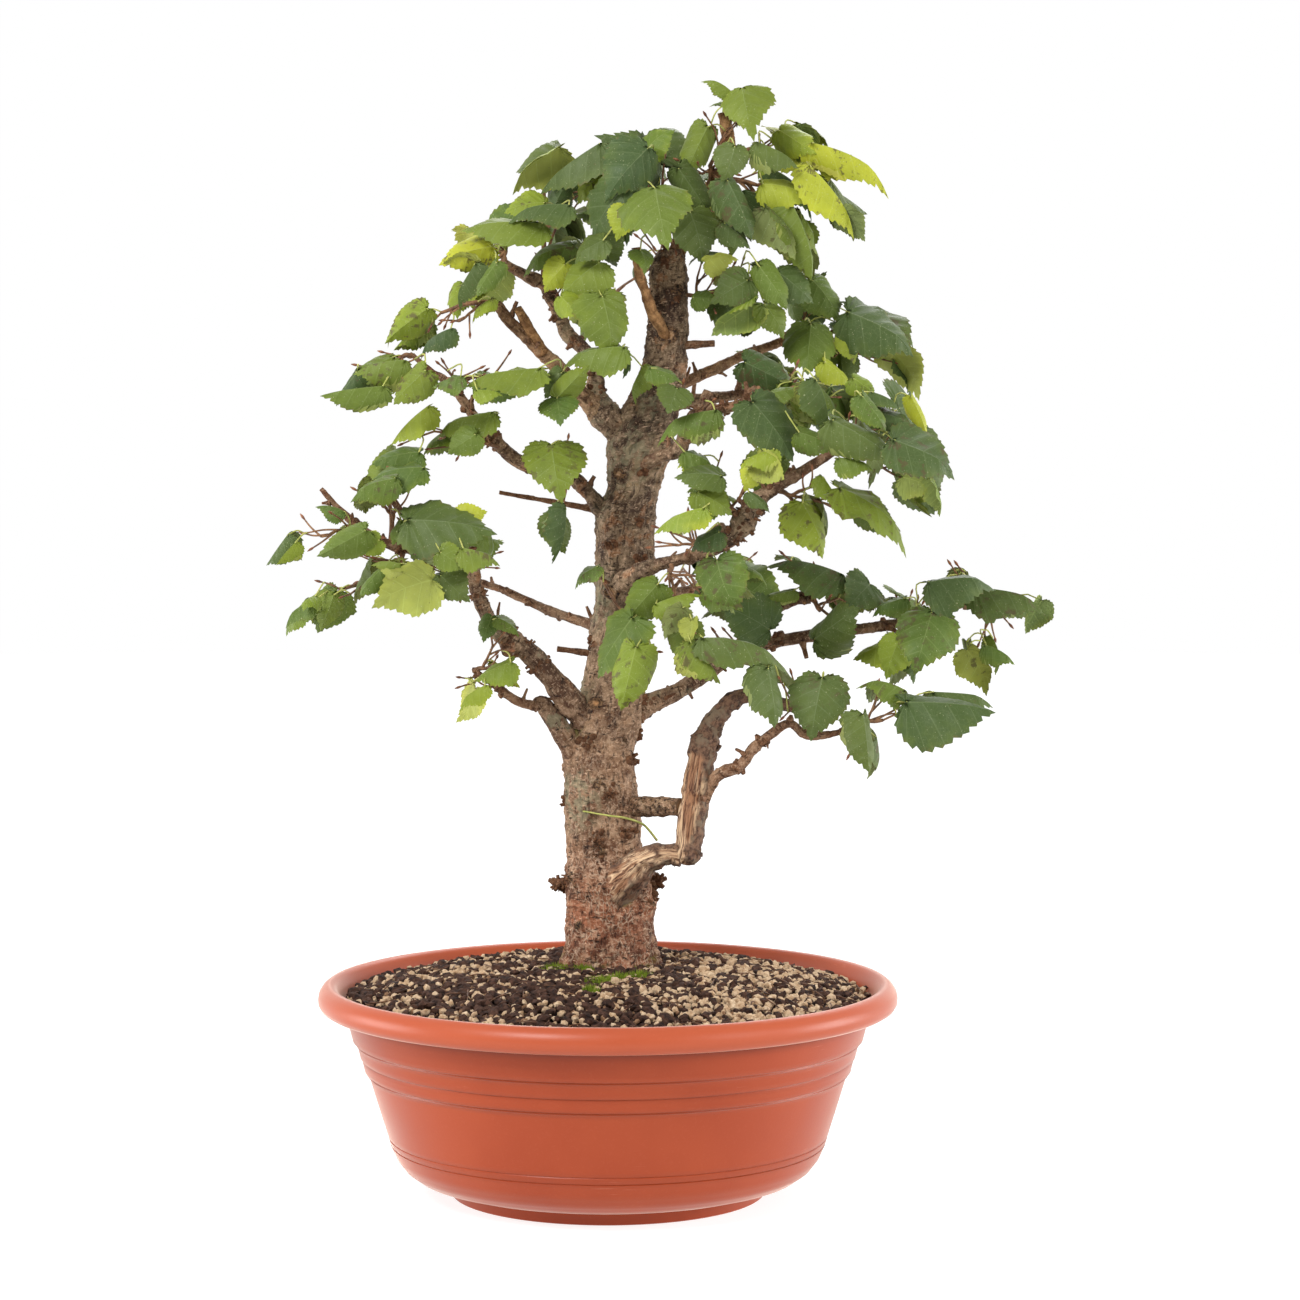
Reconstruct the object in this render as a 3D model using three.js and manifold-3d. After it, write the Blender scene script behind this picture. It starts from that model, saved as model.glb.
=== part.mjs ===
// A linden bonsai in its round training bowl, in full leaf.
// Millimetres and degrees, +Z up. The origin is the middle of the bowl's flat underside.
// Headings are seen from above: 0 is +X (right), 90 is +Y (back), 180 is left, 270 is front.

import * as THREE from "three";
import { mergeVertices } from "three/addons/utils/BufferGeometryUtils.js";
import Module from "manifold-3d";

const wasm = await Module();
wasm.setup();

// ---------------------------------------------------------------- driving dimensions

const GAP = 0.3; // clearance between pieces that touch on the real tree
const TURN = 2 * Math.PI;
const SLIVER = 0.01; // faces thinner than this are left out of the foliage

// Bowl: a spun profile, [radius, height] outside from the underside up, then inside back down.
const BOWL_SIDES = 32;
const BOWL_OUTSIDE = [
  [108, 0], [108.6, 9], [132, 13.6], [145, 24], [151.8, 37.4], [166.2, 85], [168.8, 87],
  [170.6, 95.5], [174.4, 106.5], [177, 108.5], [180.5, 127.5], [195, 128.5], [200, 133],
  [200, 139.5], [195, 147],
];
const BOWL_INSIDE = [
  [188.5, 146.4], [183.8, 137], [172.4, 110], [148.4, 42], [139, 26], [120, 15], [105.5, 12.8], [104, 4],
];
const FLOOR = 4; // thickness of the bowl's floor
const DRAIN_HOLES = 4;
const DRAIN_RADIUS = 6;
const DRAIN_SIDES = 8;
const DRAIN_CIRCLE = 62; // radius of the circle that the drain holes lie on

// Soil: fills the bowl to just under the rim and mounds up to a level patch round the trunk.
const GROUND = 152; // height of the level patch, where the trunk is cut flat
const SOIL_SURFACE = [[182.4, 135.4], [120, 149], [80, GROUND - GAP]];

// Trunk: [height, x, y, radius] from the soil to the cut top of the leader.
const TRUNK_SIDES = 12;
const TRUNK_STEPS = 30;
const TRUNK = [
  [GROUND, -1, 40, 31], [181, 0, 40, 29.3], [208, 0, 40, 30.3], [233, -3, 40, 25.4],
  [269, -4, 40, 25.6], [300, -5, 40, 24.2], [332, 1, 40, 21.2], [374, 4, 40, 18.6],
  [409, 9, 40, 19.3], [465, 12, 40, 20.2], [486, 18, 40, 17.8], [513, 23, 42, 20.6],
  [545, 32, 44, 17.6], [583, 40, 45, 14.2], [618, 42, 46, 13.8], [640, 42, 46, 12.8],
  [653, 44, 46, 8.8],
];
const FLARE = 7; // how far the root flare stands out at the soil
const FLARE_HEIGHT = 13;
const FLARE_ROOTS = 5;
const FLARE_TURN = 2.4; // where the first root of the flare lies, in radians
const FLARE_LOBES = 0.4; // how deep the hollows between the roots of the flare are
const RIDGES = [{ depth: 0.035, count: 3, winds: 60 }, { depth: 0.022, count: 5, winds: -35 }];
const COLLAR_SWELL = 0.2; // how far the bark swells round a bough's foot, as a share of the girth

// Boughs: `foot` is [x, y, z] inside the parent, each leg is [length, heading, rise], and
// `girth` is the diameter at even steps from foot to tip.
const BOUGH_SIDES = 6;
const FIRST_SIDE = [0.31, -0.87, 0.24]; // where each limb's first corner points
const BOUGHS = {
  bough_lowest_left: {
    from: "trunk", foot: [-13, 38, 290], girth: [15.5, 14.8, 13.8, 11.5, 7, 6.2, 4.8, 3.4],
    legs: [
      [24, 210, 49], [25, 213, 54], [12, 196, 52], [7, 196, -10], [14, 198, 19], [21, 194, 37],
      [14, 190, 35],
    ],
  },
  bough_low_left: {
    from: "trunk", foot: [-6, 38, 314], girth: [19.5, 17.3, 15.2, 13.8, 15, 12.3, 10.3, 9, 8.2, 7.6],
    legs: [
      [29, 218, 43], [26, 215, 48], [28, 211, 46], [19, 199, 36], [15, 205, 40], [14, 204, 59],
      [16, 200, 68], [15, 238, 81], [12, 180, 77],
    ],
  },
  bough_far_left: {
    from: "bough_low_left", foot: [-94, -12, 442], girth: [8.4, 8.2, 8, 7.4, 6.6, 5.4, 4.2, 3],
    legs: [
      [13, 198, 10], [15, 196, 3], [19, 192, 7], [17, 194, 18], [18, 188, 34], [17, 189, 43],
      [18, 189, 48],
    ],
  },
  bough_thin_left: {
    from: "trunk", foot: [-3, 50, 386], girth: [7.8, 7.1, 6.8, 6.2, 5.6, 5, 4.2],
    legs: [[18, 135, 17], [29, 146, 13], [23, 153, 20], [23, 158, 21], [18, 160, 15], [15, 165, 13]],
  },
  bough_middle_left: {
    from: "trunk", foot: [9, 42, 451],
    girth: [13, 11.8, 11, 10.4, 9.8, 9.6, 8.3, 7.5, 6.2, 5.5, 4.6, 3.4],
    legs: [
      [24, 204, 54], [18, 210, 49], [15, 201, 41], [20, 192, 16], [21, 186, 20], [16, 190, 41],
      [18, 189, 45], [23, 189, 55], [17, 190, 49], [13, 190, 32], [16, 190, 41],
    ],
  },
  bough_fork_left: {
    from: "trunk", foot: [22, 44, 512], girth: [25, 22, 19, 13.5, 11.2, 10.6, 10.4, 9.8, 9.6, 9, 8.2, 7],
    legs: [
      [19, 189, 48], [18, 189, 45], [14, 160, 65], [16, 91, 75], [18, 153, 60], [16, 170, 44],
      [14, 161, 65], [14, 180, 66], [11, 200, 59], [14, 189, 26], [18, 187, 28],
    ],
  },
  bough_crown_left: {
    from: "bough_fork_left", foot: [-6, 40, 541], girth: [13.5, 12.2, 11, 10.2, 9, 8.2, 7.6, 6.8],
    legs: [
      [16, 207, 36], [17, 201, 48], [16, 201, 45], [12, 193, 42], [14, 192, 44], [16, 190, 44],
      [14, 194, 54],
    ],
  },
  bough_leader_front: {
    from: "trunk", foot: [42, 40, 586], girth: [9.8, 8.2, 7.4, 6.8, 6.4, 6],
    legs: [[16, 251, 38], [16, 229, 49], [15, 220, 65], [12, 206, 68], [20, 216, 80]],
  },
  bough_top: {
    from: "trunk", foot: [45, 45, 644], girth: [12, 10.5, 9.8, 9.2, 9, 8.4, 7.6],
    legs: [[18, 38, 63], [22, 11, 61], [21, 349, 60], [21, 350, 57], [15, 269, 82], [18, 205, 75]],
  },
  bough_upper_right: {
    from: "trunk", foot: [36, 50, 550], girth: [9.8, 8.4, 7.8, 7.8, 7.1, 6.6, 6.2],
    legs: [[17, 32, 28], [20, 33, 23], [17, 29, 20], [21, 24, 24], [20, 18, 19], [19, 20, 20]],
  },
  bough_short_right: {
    from: "trunk", foot: [22, 30, 502], girth: [9, 8.4, 9.8, 8.2, 7.5, 6.8, 6.6, 6],
    legs: [
      [22, 311, 18], [18, 324, 20], [15, 304, 61], [17, 328, 47], [16, 345, 5], [15, 344, 16],
      [14, 337, 45],
    ],
  },
  bough_middle_right: {
    from: "trunk", foot: [7, 30, 416], girth: [16.5, 13.6, 10.3, 9, 8.4, 9.6, 16.5, 11.5, 8.8, 7.4, 6],
    legs: [
      [20, 298, 28], [20, 319, 23], [18, 332, 14], [18, 340, 14], [22, 342, 24], [19, 334, 44],
      [17, 334, 59], [17, 352, 34], [20, 347, 32], [29, 351, 32],
    ],
  },
  bough_low_right: {
    from: "trunk", foot: [14, 42, 330],
    girth: [17, 14, 12.6, 11.4, 10.6, 9.4, 8.5, 7.8, 7, 5.8, 4.8, 3.5],
    legs: [
      [19, 13, 21], [18, 14, 22], [24, 14, 31], [24, 14, 33], [32, 11, 16], [40, 6, 9], [29, 4, 7],
      [18, 0, 9], [25, 355, 13], [20, 354, 19], [19, 353, 24],
    ],
  },
  bough_low_right_fork: {
    from: "bough_low_right", foot: [98, 62, 372], girth: [9.4, 8.8, 8.4, 8.4, 9.2],
    legs: [[17, 316, 60], [17, 338, 51], [19, 346, 28], [11, 349, 8]],
  },
  bough_back_low: {
    from: "trunk", foot: [3, 44, 380], girth: [13, 11, 9.2, 7.8, 6],
    legs: [[30, 85, 30], [30, 60, 20], [30, 45, 8], [25, 40, 6]],
  },
  bough_back_right: {
    from: "trunk", foot: [24, 46, 520], girth: [12.5, 10.5, 8.8, 7.4, 5.6],
    legs: [[35, 80, 25], [35, 45, 20], [35, 20, 8], [25, 15, 8]],
  },
  deadwood_arm: {
    from: "trunk", foot: [0, 30, 202], girth: [30, 23, 16.5, 14, 13.6],
    legs: [[28, 314, 38], [20, 321, 36], [15, 344, 15], [9, 350, -6]],
  },
  deadwood_upright: {
    from: "deadwood_arm", foot: [53, -2, 228],
    girth: [15.5, 17.8, 18.6, 19, 18.6, 17.8, 15.2, 12.4, 11, 9, 6.8, 5.2],
    legs: [
      [14, 0, 82], [17, 44, 80], [14, 44, 78], [17, 36, 79], [18, 30, 77], [13, 26, 68], [13, 18, 59],
      [15, 11, 44], [16, 7, 12], [24, 5, -16], [16, 7, -20],
    ],
  },
  bough_low_thin: {
    from: "deadwood_upright", foot: [63, 4, 266], girth: [9.6, 8.2, 7.5, 7.6, 8.2, 6.8, 6.1, 5.4, 4.8, 4],
    legs: [
      [14, 324, 62], [16, 324, 52], [16, 344, 22], [16, 337, 51], [16, 341, 39], [15, 351, 31],
      [14, 341, -33], [14, 352, 1], [13, 351, 13],
    ],
  },
};

// Stubs: snags, burrs and pruned ends that are one piece with their host. `at` is a height on
// the trunk, or the share of the way along a bough; girth is [foot, end].
const STUBS = [
  { on: "trunk", at: 210, heading: 183, rise: 0, length: 36, girth: [12, 8] },
  { on: "trunk", at: 210, heading: 338, rise: 4, length: 37, girth: [14, 9] },
  { on: "trunk", at: 264, heading: 325, rise: 3, length: 66, girth: [15, 12.5] },
  { on: "trunk", at: 369, heading: 185, rise: 8, length: 40, girth: [5.5, 3.6] },
  { on: "trunk", at: 467, heading: 184, rise: 10, length: 90, girth: [6, 2.4] },
  { on: "trunk", at: 586, heading: 350, rise: 2, length: 34, girth: [7, 4.6] },
  { on: "bough_low_left", at: 0.44, heading: 262, rise: -50, length: 13, girth: [13, 7] },
  { on: "bough_far_left", at: 0.3, heading: 180, rise: 56, length: 42, girth: [5.4, 4.8] },
  { on: "bough_crown_left", at: 0.53, heading: 211, rise: 57, length: 37, girth: [7.4, 6] },
  { on: "bough_short_right", at: 0.58, heading: 340, rise: 68, length: 14, girth: [8, 7] },
  { on: "bough_middle_right", at: 0.52, heading: 120, rise: 32, length: 15, girth: [8, 7] },
];

// Foliage: each mass grows from `at` on its bough or from that height on the trunk. Its shoots are
// [length, heading, rise, reach, leaves]: a shoot's leaves keep within `reach` of its far end.
const MASSES = {
  leaves_top: {
    on: "bough_top", at: 0.5, seed: 19,
    shoots: [
      [36, 257, 55, 30, 3], [32, 311, 26, 26, 2], [34, 305, -27, 34, 3], [33, 244, 4, 30, 2],
      [37, 31, -59, 23, 1], [65, 322, 67, 35, 2],
    ],
  },
  leaves_top_right: {
    on: "bough_top", at: 0.67, seed: 90,
    shoots: [[55, 13, 17, 36, 3], [88, 9, 4, 39, 2], [40, 324, 7, 26, 2]],
  },
  leaves_top_right_low: {
    on: "bough_top", at: 0.52, seed: 119,
    shoots: [[54, 350, -4, 32, 3], [91, 3, -7, 37, 2], [74, 2, -32, 34, 2], [57, 30, -27, 28, 2]],
  },
  leaves_crown: {
    on: "trunk", at: 648, seed: 101,
    shoots: [
      [74, 195, 71, 36, 3], [87, 96, 70, 28, 2], [53, 259, 29, 38, 3], [30, 320, 22, 26, 1],
      [66, 210, 39, 32, 3], [51, 233, 5, 26, 2],
    ],
  },
  leaves_upper_left: {
    on: "bough_fork_left", at: 0.82, seed: 31,
    shoots: [[92, 90, 85, 35, 2], [89, 36, 70, 29, 3], [57, 302, 76, 29, 2], [95, 84, 30, 36, 3]],
  },
  leaves_left_shoulder: {
    on: "bough_fork_left", at: 1, seed: 68,
    shoots: [[31, 16, 76, 34, 3], [26, 187, 37, 34, 3], [33, 217, -28, 28, 2], [22, 122, -43, 26, 2]],
  },
  leaves_left_inner: {
    on: "bough_fork_left", at: 0.73, seed: 28,
    shoots: [[34, 291, 64, 31, 3], [40, 300, 12, 30, 3], [59, 311, -9, 34, 3]],
  },
  leaves_fork: {
    on: "bough_fork_left", at: 0.36, seed: 77,
    shoots: [[51, 246, -9, 31, 4], [31, 283, 32, 28, 2]],
  },
  leaves_left_high: {
    on: "bough_crown_left", at: 1, seed: 15,
    shoots: [[63, 187, -10, 32, 2], [48, 206, -29, 24, 1]],
  },
  leaves_left_point: {
    on: "bough_middle_left", at: 1, seed: 59,
    shoots: [[29, 219, -15, 30, 2], [53, 209, -25, 31, 2], [36, 265, -39, 27, 2]],
  },
  leaves_left_upper: {
    on: "bough_middle_left", at: 0.82, seed: 84,
    shoots: [[36, 332, -4, 29, 3], [14, 290, 20, 27, 2], [59, 338, 6, 29, 3]],
  },
  leaves_left_middle: {
    on: "bough_middle_left", at: 0.5, seed: 88,
    shoots: [[45, 214, 20, 37, 3], [81, 210, 14, 30, 2], [60, 209, 5, 27, 2]],
  },
  leaves_left_hanging: {
    on: "bough_middle_left", at: 0.27, seed: 33,
    shoots: [[55, 252, 12, 36, 1], [48, 254, -48, 29, 1]],
  },
  leaves_left_outer: {
    on: "bough_far_left", at: 0.5, seed: 35,
    shoots: [[59, 116, 83, 30, 3], [45, 332, 80, 30, 2], [38, 215, 66, 28, 2]],
  },
  leaves_far_left_top: {
    on: "bough_far_left", at: 0.28, seed: 78,
    shoots: [[33, 265, 25, 36, 3], [39, 316, 23, 36, 3], [26, 336, -14, 28, 2]],
  },
  leaves_far_left: {
    on: "bough_far_left", at: 0.72, seed: 98,
    shoots: [[23, 244, -14, 35, 3], [47, 199, -18, 28, 1], [22, 300, -40, 28, 2]],
  },
  leaves_low_left: {
    on: "bough_far_left", at: 0.42, seed: 11,
    shoots: [[33, 241, -67, 39, 2], [29, 195, -32, 30, 2], [67, 187, -38, 30, 2], [83, 181, -30, 26, 2]],
  },
  leaves_back_left: {
    on: "bough_thin_left", at: 1, seed: 109,
    shoots: [[16, 135, -41, 35, 3], [31, 138, 24, 34, 3], [39, 59, 44, 30, 2], [78, 82, 14, 36, 3]],
  },
  leaves_stub_left: {
    on: "bough_lowest_left", at: 1, seed: 115,
    shoots: [[18, 328, 9, 29, 3], [24, 261, -57, 27, 2], [56, 295, 33, 27, 2]],
  },
  leaves_trunk_front: {
    on: "trunk", at: 420, seed: 21,
    shoots: [[85, 282, -43, 34, 1], [65, 266, -30, 30, 2], [66, 284, -15, 27, 2], [49, 249, 11, 24, 1]],
  },
  leaves_middle_low: {
    on: "bough_middle_right", at: 0.3, seed: 78,
    shoots: [[28, 251, -58, 31, 3], [55, 332, -81, 24, 1], [44, 333, -15, 34, 2]],
  },
  leaves_middle: {
    on: "bough_middle_right", at: 0.42, seed: 81,
    shoots: [[29, 185, 45, 29, 2], [39, 190, 7, 27, 2], [24, 275, 24, 23, 1]],
  },
  leaves_middle_high: {
    on: "bough_middle_right", at: 0.6, seed: 2,
    shoots: [[32, 208, 43, 32, 3], [52, 182, 57, 27, 2], [41, 16, 69, 30, 3]],
  },
  leaves_neck: {
    on: "bough_short_right", at: 0.6, seed: 82,
    shoots: [[25, 239, -12, 32, 2], [31, 213, 16, 23, 1], [24, 297, -6, 17, 1]],
  },
  leaves_leader_right: {
    on: "trunk", at: 618, seed: 117,
    shoots: [[50, 341, 5, 37, 4], [76, 355, 14, 31, 3], [37, 11, 55, 26, 2], [54, 330, -18, 30, 2]],
  },
  leaves_upper_right: {
    on: "bough_upper_right", at: 1, seed: 40,
    shoots: [
      [30, 299, -11, 41, 3], [38, 324, 61, 35, 3], [65, 346, 8, 41, 2], [86, 345, -14, 30, 1],
      [58, 316, -26, 28, 2],
    ],
  },
  leaves_right_inner: {
    on: "bough_short_right", at: 1, seed: 84,
    shoots: [[33, 305, -57, 36, 2], [36, 0, -9, 34, 3], [35, 65, -19, 29, 2]],
  },
  leaves_right: {
    on: "bough_middle_right", at: 1, seed: 91,
    shoots: [[21, 325, 13, 39, 2], [61, 344, -5, 41, 1], [48, 28, 36, 35, 4], [66, 18, -25, 30, 2]],
  },
  leaves_right_under: {
    on: "bough_middle_right", at: 0.8, seed: 36,
    shoots: [[36, 30, -34, 30, 2], [71, 0, -16, 38, 2], [47, 341, 12, 27, 2]],
  },
  leaves_low_right_inner: {
    on: "bough_low_right", at: 0.38, seed: 49,
    shoots: [[31, 275, 46, 37, 3], [46, 232, 4, 30, 3], [40, 308, 0, 29, 2]],
  },
  leaves_low_right_fork: {
    on: "bough_low_right_fork", at: 1, seed: 40,
    shoots: [[36, 300, -34, 41, 2], [28, 222, 72, 37, 1], [41, 20, 7, 36, 2]],
  },
  leaves_low_right: {
    on: "bough_low_right", at: 0.73, seed: 15,
    shoots: [[39, 304, 4, 42, 2], [25, 273, -61, 31, 2], [29, 71, 33, 28, 2]],
  },
  leaves_low_right_tip: {
    on: "bough_low_right", at: 1, seed: 12,
    shoots: [[21, 327, -7, 36, 1], [28, 194, 24, 37, 2], [42, 317, -78, 35, 2]],
  },
  leaves_base_right: {
    on: "deadwood_upright", at: 1, seed: 120,
    shoots: [[39, 290, 26, 39, 3], [48, 219, 23, 36, 2]],
  },
  leaves_base_right_low: {
    on: "bough_low_thin", at: 1, seed: 68,
    shoots: [[60, 358, 16, 49, 1], [18, 335, -19, 32, 1], [41, 34, 38, 29, 1]],
  },
  leaves_back_low: {
    on: "bough_back_low", at: 1, seed: 88,
    shoots: [[50, 70, 5, 37, 3], [46, 20, -2, 37, 3], [75, 100, 16, 35, 2], [98, 60, 8, 38, 3]],
  },
  leaves_back_right: {
    on: "bough_back_right", at: 1, seed: 44,
    shoots: [[45, 60, 0, 38, 3], [78, 90, 14, 35, 3], [40, 350, -20, 30, 2], [100, 50, -4, 38, 3]],
  },
  leaves_back_top: {
    on: "trunk", at: 640, seed: 100,
    shoots: [[95, 70, 38, 37, 3], [102, 96, 5, 36, 3], [112, 122, -14, 36, 2], [140, 85, 22, 36, 2]],
  },
};

// Leaves: heart-shaped with a drawn-out tip, as [along, across] shares of its length, one half.
const LEAF_HALF = [[0.4, 0.44], [-0.1, 0.34]];
const BLADE_MIDDLE = 0.42; // where on the midrib half the blade lies behind
const LEAF_MIDDLE = 0.26; // where on the midrib the blade is thickest
const LEAF_THICKNESS = 0.036; // share of its length, at the middle
const LEAF_SIZES = [1.3, 1.75]; // blade length as a share of the shoot's reach
const LEAF_SHRINK = 0.984; // how much smaller each further try is
const LEAF_TRIES = 70;
const LEAF_LENGTHS = [20, 60];
const LEAF_STRAYS = 40; // degrees that a leaf strays from its turn round the shoot
const STRAYS_TWICE = 12; // tries after which it strays twice as far
const LEAF_RISES = [-45, 40]; // of the leaf's middle, seen from the shoot's end
const LEAF_SPREAD = [0, 0.5]; // how far that middle lies from the shoot's end, as a share of the reach
const NEAREST_BASE = 0.85; // the most of the way back to the twig that half a blade takes up
const BENDS = [0.1, 1]; // share of the sharpest bend between stalk and blade
const HINGE_TURNS = [-70, 70];
const ROLLS = [65, 25]; // the most that a straight leaf and a bent one roll over
const FOLDS = [-28, 20];
const STALK_LENGTHS = [3, 30];
const STALK_BACK = 0.35; // the least that a stalk points backwards, unless it leaves the plane
const STALK_OUT = { normal: 0.5, across: 0.45, forwards: 0.6 }; // a stalk that leaves the plane
const STALK_RADIUS = 0.62;
const STALK_PLACES = [0.96, 0.86, 0.76, 0.66, 0.56, 0.46]; // shares of the way along the twig
const TWIG_SIDES = 3;
const STEM_RADIUS = [2.7, 1.5]; // the first shoot's twig, at its foot and tip
const TWIG_RADIUS = [1.15, 1.4]; // the side shoots' twigs
const TWIG_ENDS = 0.75; // how far short of its shoot's end a twig stops, as a share of the reach
const SHORTEST_TWIG = 0.45; // as a share of the shoot
const STEM_SHOWS = 10; // the least of a stem that shows outside its bough
const BOW = 0.08; // how far a twig bows at a time, as a share of its length
const MOST_BOWS = 5;
const BOW_WAYS = 8; // directions that a twig may bow in
const BOW_SKIP = 3; // directions passed over from one try to the next
const TWIG_TOUCHES = 16; // places along a twig that are tried against the other limbs
const TWIG_CLEARANCE = 2.4;
const FORKS = [0.25, 0.9]; // where side shoots leave the first shoot's twig, once clear of the bough
const FORK_STEP = 0.05;
const FORK_CLEARANCE = 3;
const LIMB_CLEARANCE = 1.2;
const BALL_SPACING = 3; // limbs are tried for clearance as runs of balls this far apart
const TWIG_BALL_SPACING = 2;
const TRUNK_ALLOWANCE = 1.12; // its ridges and collars stand out of its plain radius
const GOLDEN_ANGLE = 137.5;

const COLOURS = {
  bark: { color: 0x75655a, roughness: 0.9, metalness: 0 },
  deadwood: { color: 0xb39a7c, roughness: 0.8, metalness: 0 },
  bowl: { color: 0xb5553a, roughness: 0.45, metalness: 0 },
  soil: { color: 0x4b4038, roughness: 1, metalness: 0 },
  foliage: { color: 0x4f7238, roughness: 0.6, metalness: 0 },
};

// ---------------------------------------------------------------- helpers

const radians = THREE.MathUtils.degToRad;

// The unit vector of a heading and a rise.
function aim(heading, rise) {
  const [turn, lift] = [radians(heading), radians(rise)];
  return new THREE.Vector3(Math.cos(lift) * Math.cos(turn), Math.cos(lift) * Math.sin(turn), Math.sin(lift));
}

// A repeatable source of numbers: each call gives one between low and high.
function seeded(seed) {
  let state = (seed * 7919) % 2147483647;
  return (low, high) => {
    state = (state * 48271) % 2147483647;
    return low + ((high - low) * state) / 2147483647;
  };
}

// The value at `share` of the way along a list of evenly spaced values.
function spread(values, share) {
  const place = Math.min(Math.max(share, 0), 1) * (values.length - 1);
  const index = Math.min(Math.floor(place), values.length - 2);
  return THREE.MathUtils.lerp(values[index], values[index + 1], place - index);
}

function smooth(points) {
  return new THREE.CatmullRomCurve3(points, false, "catmullrom");
}

// A closed geometry as a solid, with its shared corners merged.
function solidOf(geometry) {
  const bare = new THREE.BufferGeometry().setAttribute("position", geometry.getAttribute("position"));
  bare.setIndex(geometry.getIndex());
  const merged = mergeVertices(bare, 1e-4);
  const corners = merged.getIndex().array;
  const kept = [];
  for (let i = 0; i < corners.length; i += 3) {
    const [a, b, c] = corners.slice(i, i + 3);
    if (a !== b && b !== c && c !== a) kept.push(a, b, c);
  }
  const mesh = new wasm.Mesh({
    numProp: 3,
    vertProperties: new Float32Array(merged.getAttribute("position").array),
    triVerts: new Uint32Array(kept),
  });
  return new wasm.Manifold(mesh);
}

function geometryOf(solid) {
  const mesh = solid.getMesh();
  const geometry = new THREE.BufferGeometry();
  geometry.setAttribute("position", new THREE.BufferAttribute(new Float32Array(mesh.vertProperties), 3));
  geometry.setIndex(new THREE.BufferAttribute(new Uint32Array(mesh.triVerts), 1));
  const faceted = geometry.toNonIndexed();
  faceted.computeVertexNormals();
  return faceted;
}

// The largest body of a solid: a loose scrap is dropped and a sealed hollow is filled.
function largest(solid) {
  const bodies = solid.decompose().sort((a, b) => b.volume() - a.volume());
  return bodies[0];
}

// A solid skinned over flat rings of points, each wound the same way, with both ends closed.
function skin(rings) {
  const sides = rings[0].length;
  const top = (rings.length - 1) * sides;
  const index = [];
  for (let ring = 0; ring < rings.length - 1; ring += 1) {
    for (let side = 0; side < sides; side += 1) {
      const [a, b] = [ring * sides + side, ring * sides + ((side + 1) % sides)];
      index.push(a, b, b + sides, a, b + sides, a + sides);
    }
  }
  for (let side = 1; side < sides - 1; side += 1) {
    index.push(0, side + 1, side, top, top + side, top + side + 1);
  }
  return solidOf(new THREE.BufferGeometry().setFromPoints(rings.flat()).setIndex(index));
}

// A round limb along a curve: `radiusAt(share)` gives its radius, and the rings turn with it.
function limbSolid(curve, radiusAt, sides, steps, extra = 0) {
  const rings = [];
  let side = new THREE.Vector3(...FIRST_SIDE);
  for (let step = 0; step <= steps; step += 1) {
    const share = step / steps;
    const ahead = curve.getPoint(Math.min(share + 0.01, 1)).sub(curve.getPoint(Math.max(share - 0.01, 0)));
    ahead.normalize();
    side = side.clone().addScaledVector(ahead, -side.dot(ahead)).normalize();
    const other = ahead.clone().cross(side);
    const centre = curve.getPoint(share);
    if (step === 0) centre.addScaledVector(ahead, -extra);
    if (step === steps) centre.addScaledVector(ahead, extra);
    const radius = radiusAt(share) + extra;
    rings.push(
      Array.from({ length: sides }, (_, k) =>
        centre.clone()
          .addScaledVector(side, radius * Math.cos((TURN * k) / sides))
          .addScaledVector(other, radius * Math.sin((TURN * k) / sides)),
      ),
    );
  }
  return skin(rings);
}

// ---------------------------------------------------------------- trunk and boughs

const trunkCurve = smooth(TRUNK.map(([height, x, y]) => new THREE.Vector3(x, y, height)));
const trunkRadii = TRUNK.map((row) => row[3]);

// The share of the way up the trunk's rows at a height.
function trunkShare(height) {
  const row = Math.min(TRUNK.findIndex(([top]) => top > height) - 1, TRUNK.length - 2);
  return (row + (height - TRUNK[row][0]) / (TRUNK[row + 1][0] - TRUNK[row][0])) / (TRUNK.length - 1);
}

const limbs = {
  trunk: { curve: trunkCurve, radiusAt: (share) => spread(trunkRadii, share), steps: TRUNK_STEPS },
};
for (const [name, { foot, legs, girth }] of Object.entries(BOUGHS)) {
  const points = [new THREE.Vector3(...foot)];
  for (const [length, heading, rise] of legs) {
    points.push(points.at(-1).clone().addScaledVector(aim(heading, rise), length));
  }
  const radiusAt = (share) => spread(girth, share) / 2;
  limbs[name] = { curve: smooth(points), radiusAt, steps: legs.length };
}

function pointOn(host, at) {
  return limbs[host].curve.getPoint(host === "trunk" ? trunkShare(at) : at);
}

// Where a bough leaves the trunk: the height, heading and girth of the swelling round its foot.
const collars = Object.values(BOUGHS)
  .filter(({ from }) => from === "trunk")
  .map(({ foot, legs, girth }) => ({
    height: foot[2] + legs[0][0] * Math.sin(radians(legs[0][2])),
    heading: radians(legs[0][1]),
    girth: girth[0],
  }));

function trunkRadius(height, angle) {
  const plain = spread(trunkRadii, trunkShare(height));
  const ridges = RIDGES.reduce((sum, { depth, count, winds }) => {
    return sum + depth * Math.sin(count * angle + height / winds);
  }, 0);
  const lobes = 1 - FLARE_LOBES + FLARE_LOBES * Math.sin(FLARE_ROOTS * angle + FLARE_TURN);
  const flare = FLARE * Math.exp((GROUND - height) / FLARE_HEIGHT) * lobes;
  const swell = collars.reduce((sum, collar) => {
    const away = (height - collar.height) / collar.girth;
    const facing = Math.max(0, Math.cos(angle - collar.heading));
    return sum + COLLAR_SWELL * collar.girth * Math.exp(-away * away) * facing ** 3;
  }, 0);
  return plain * (1 + ridges) + flare + swell;
}

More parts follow.
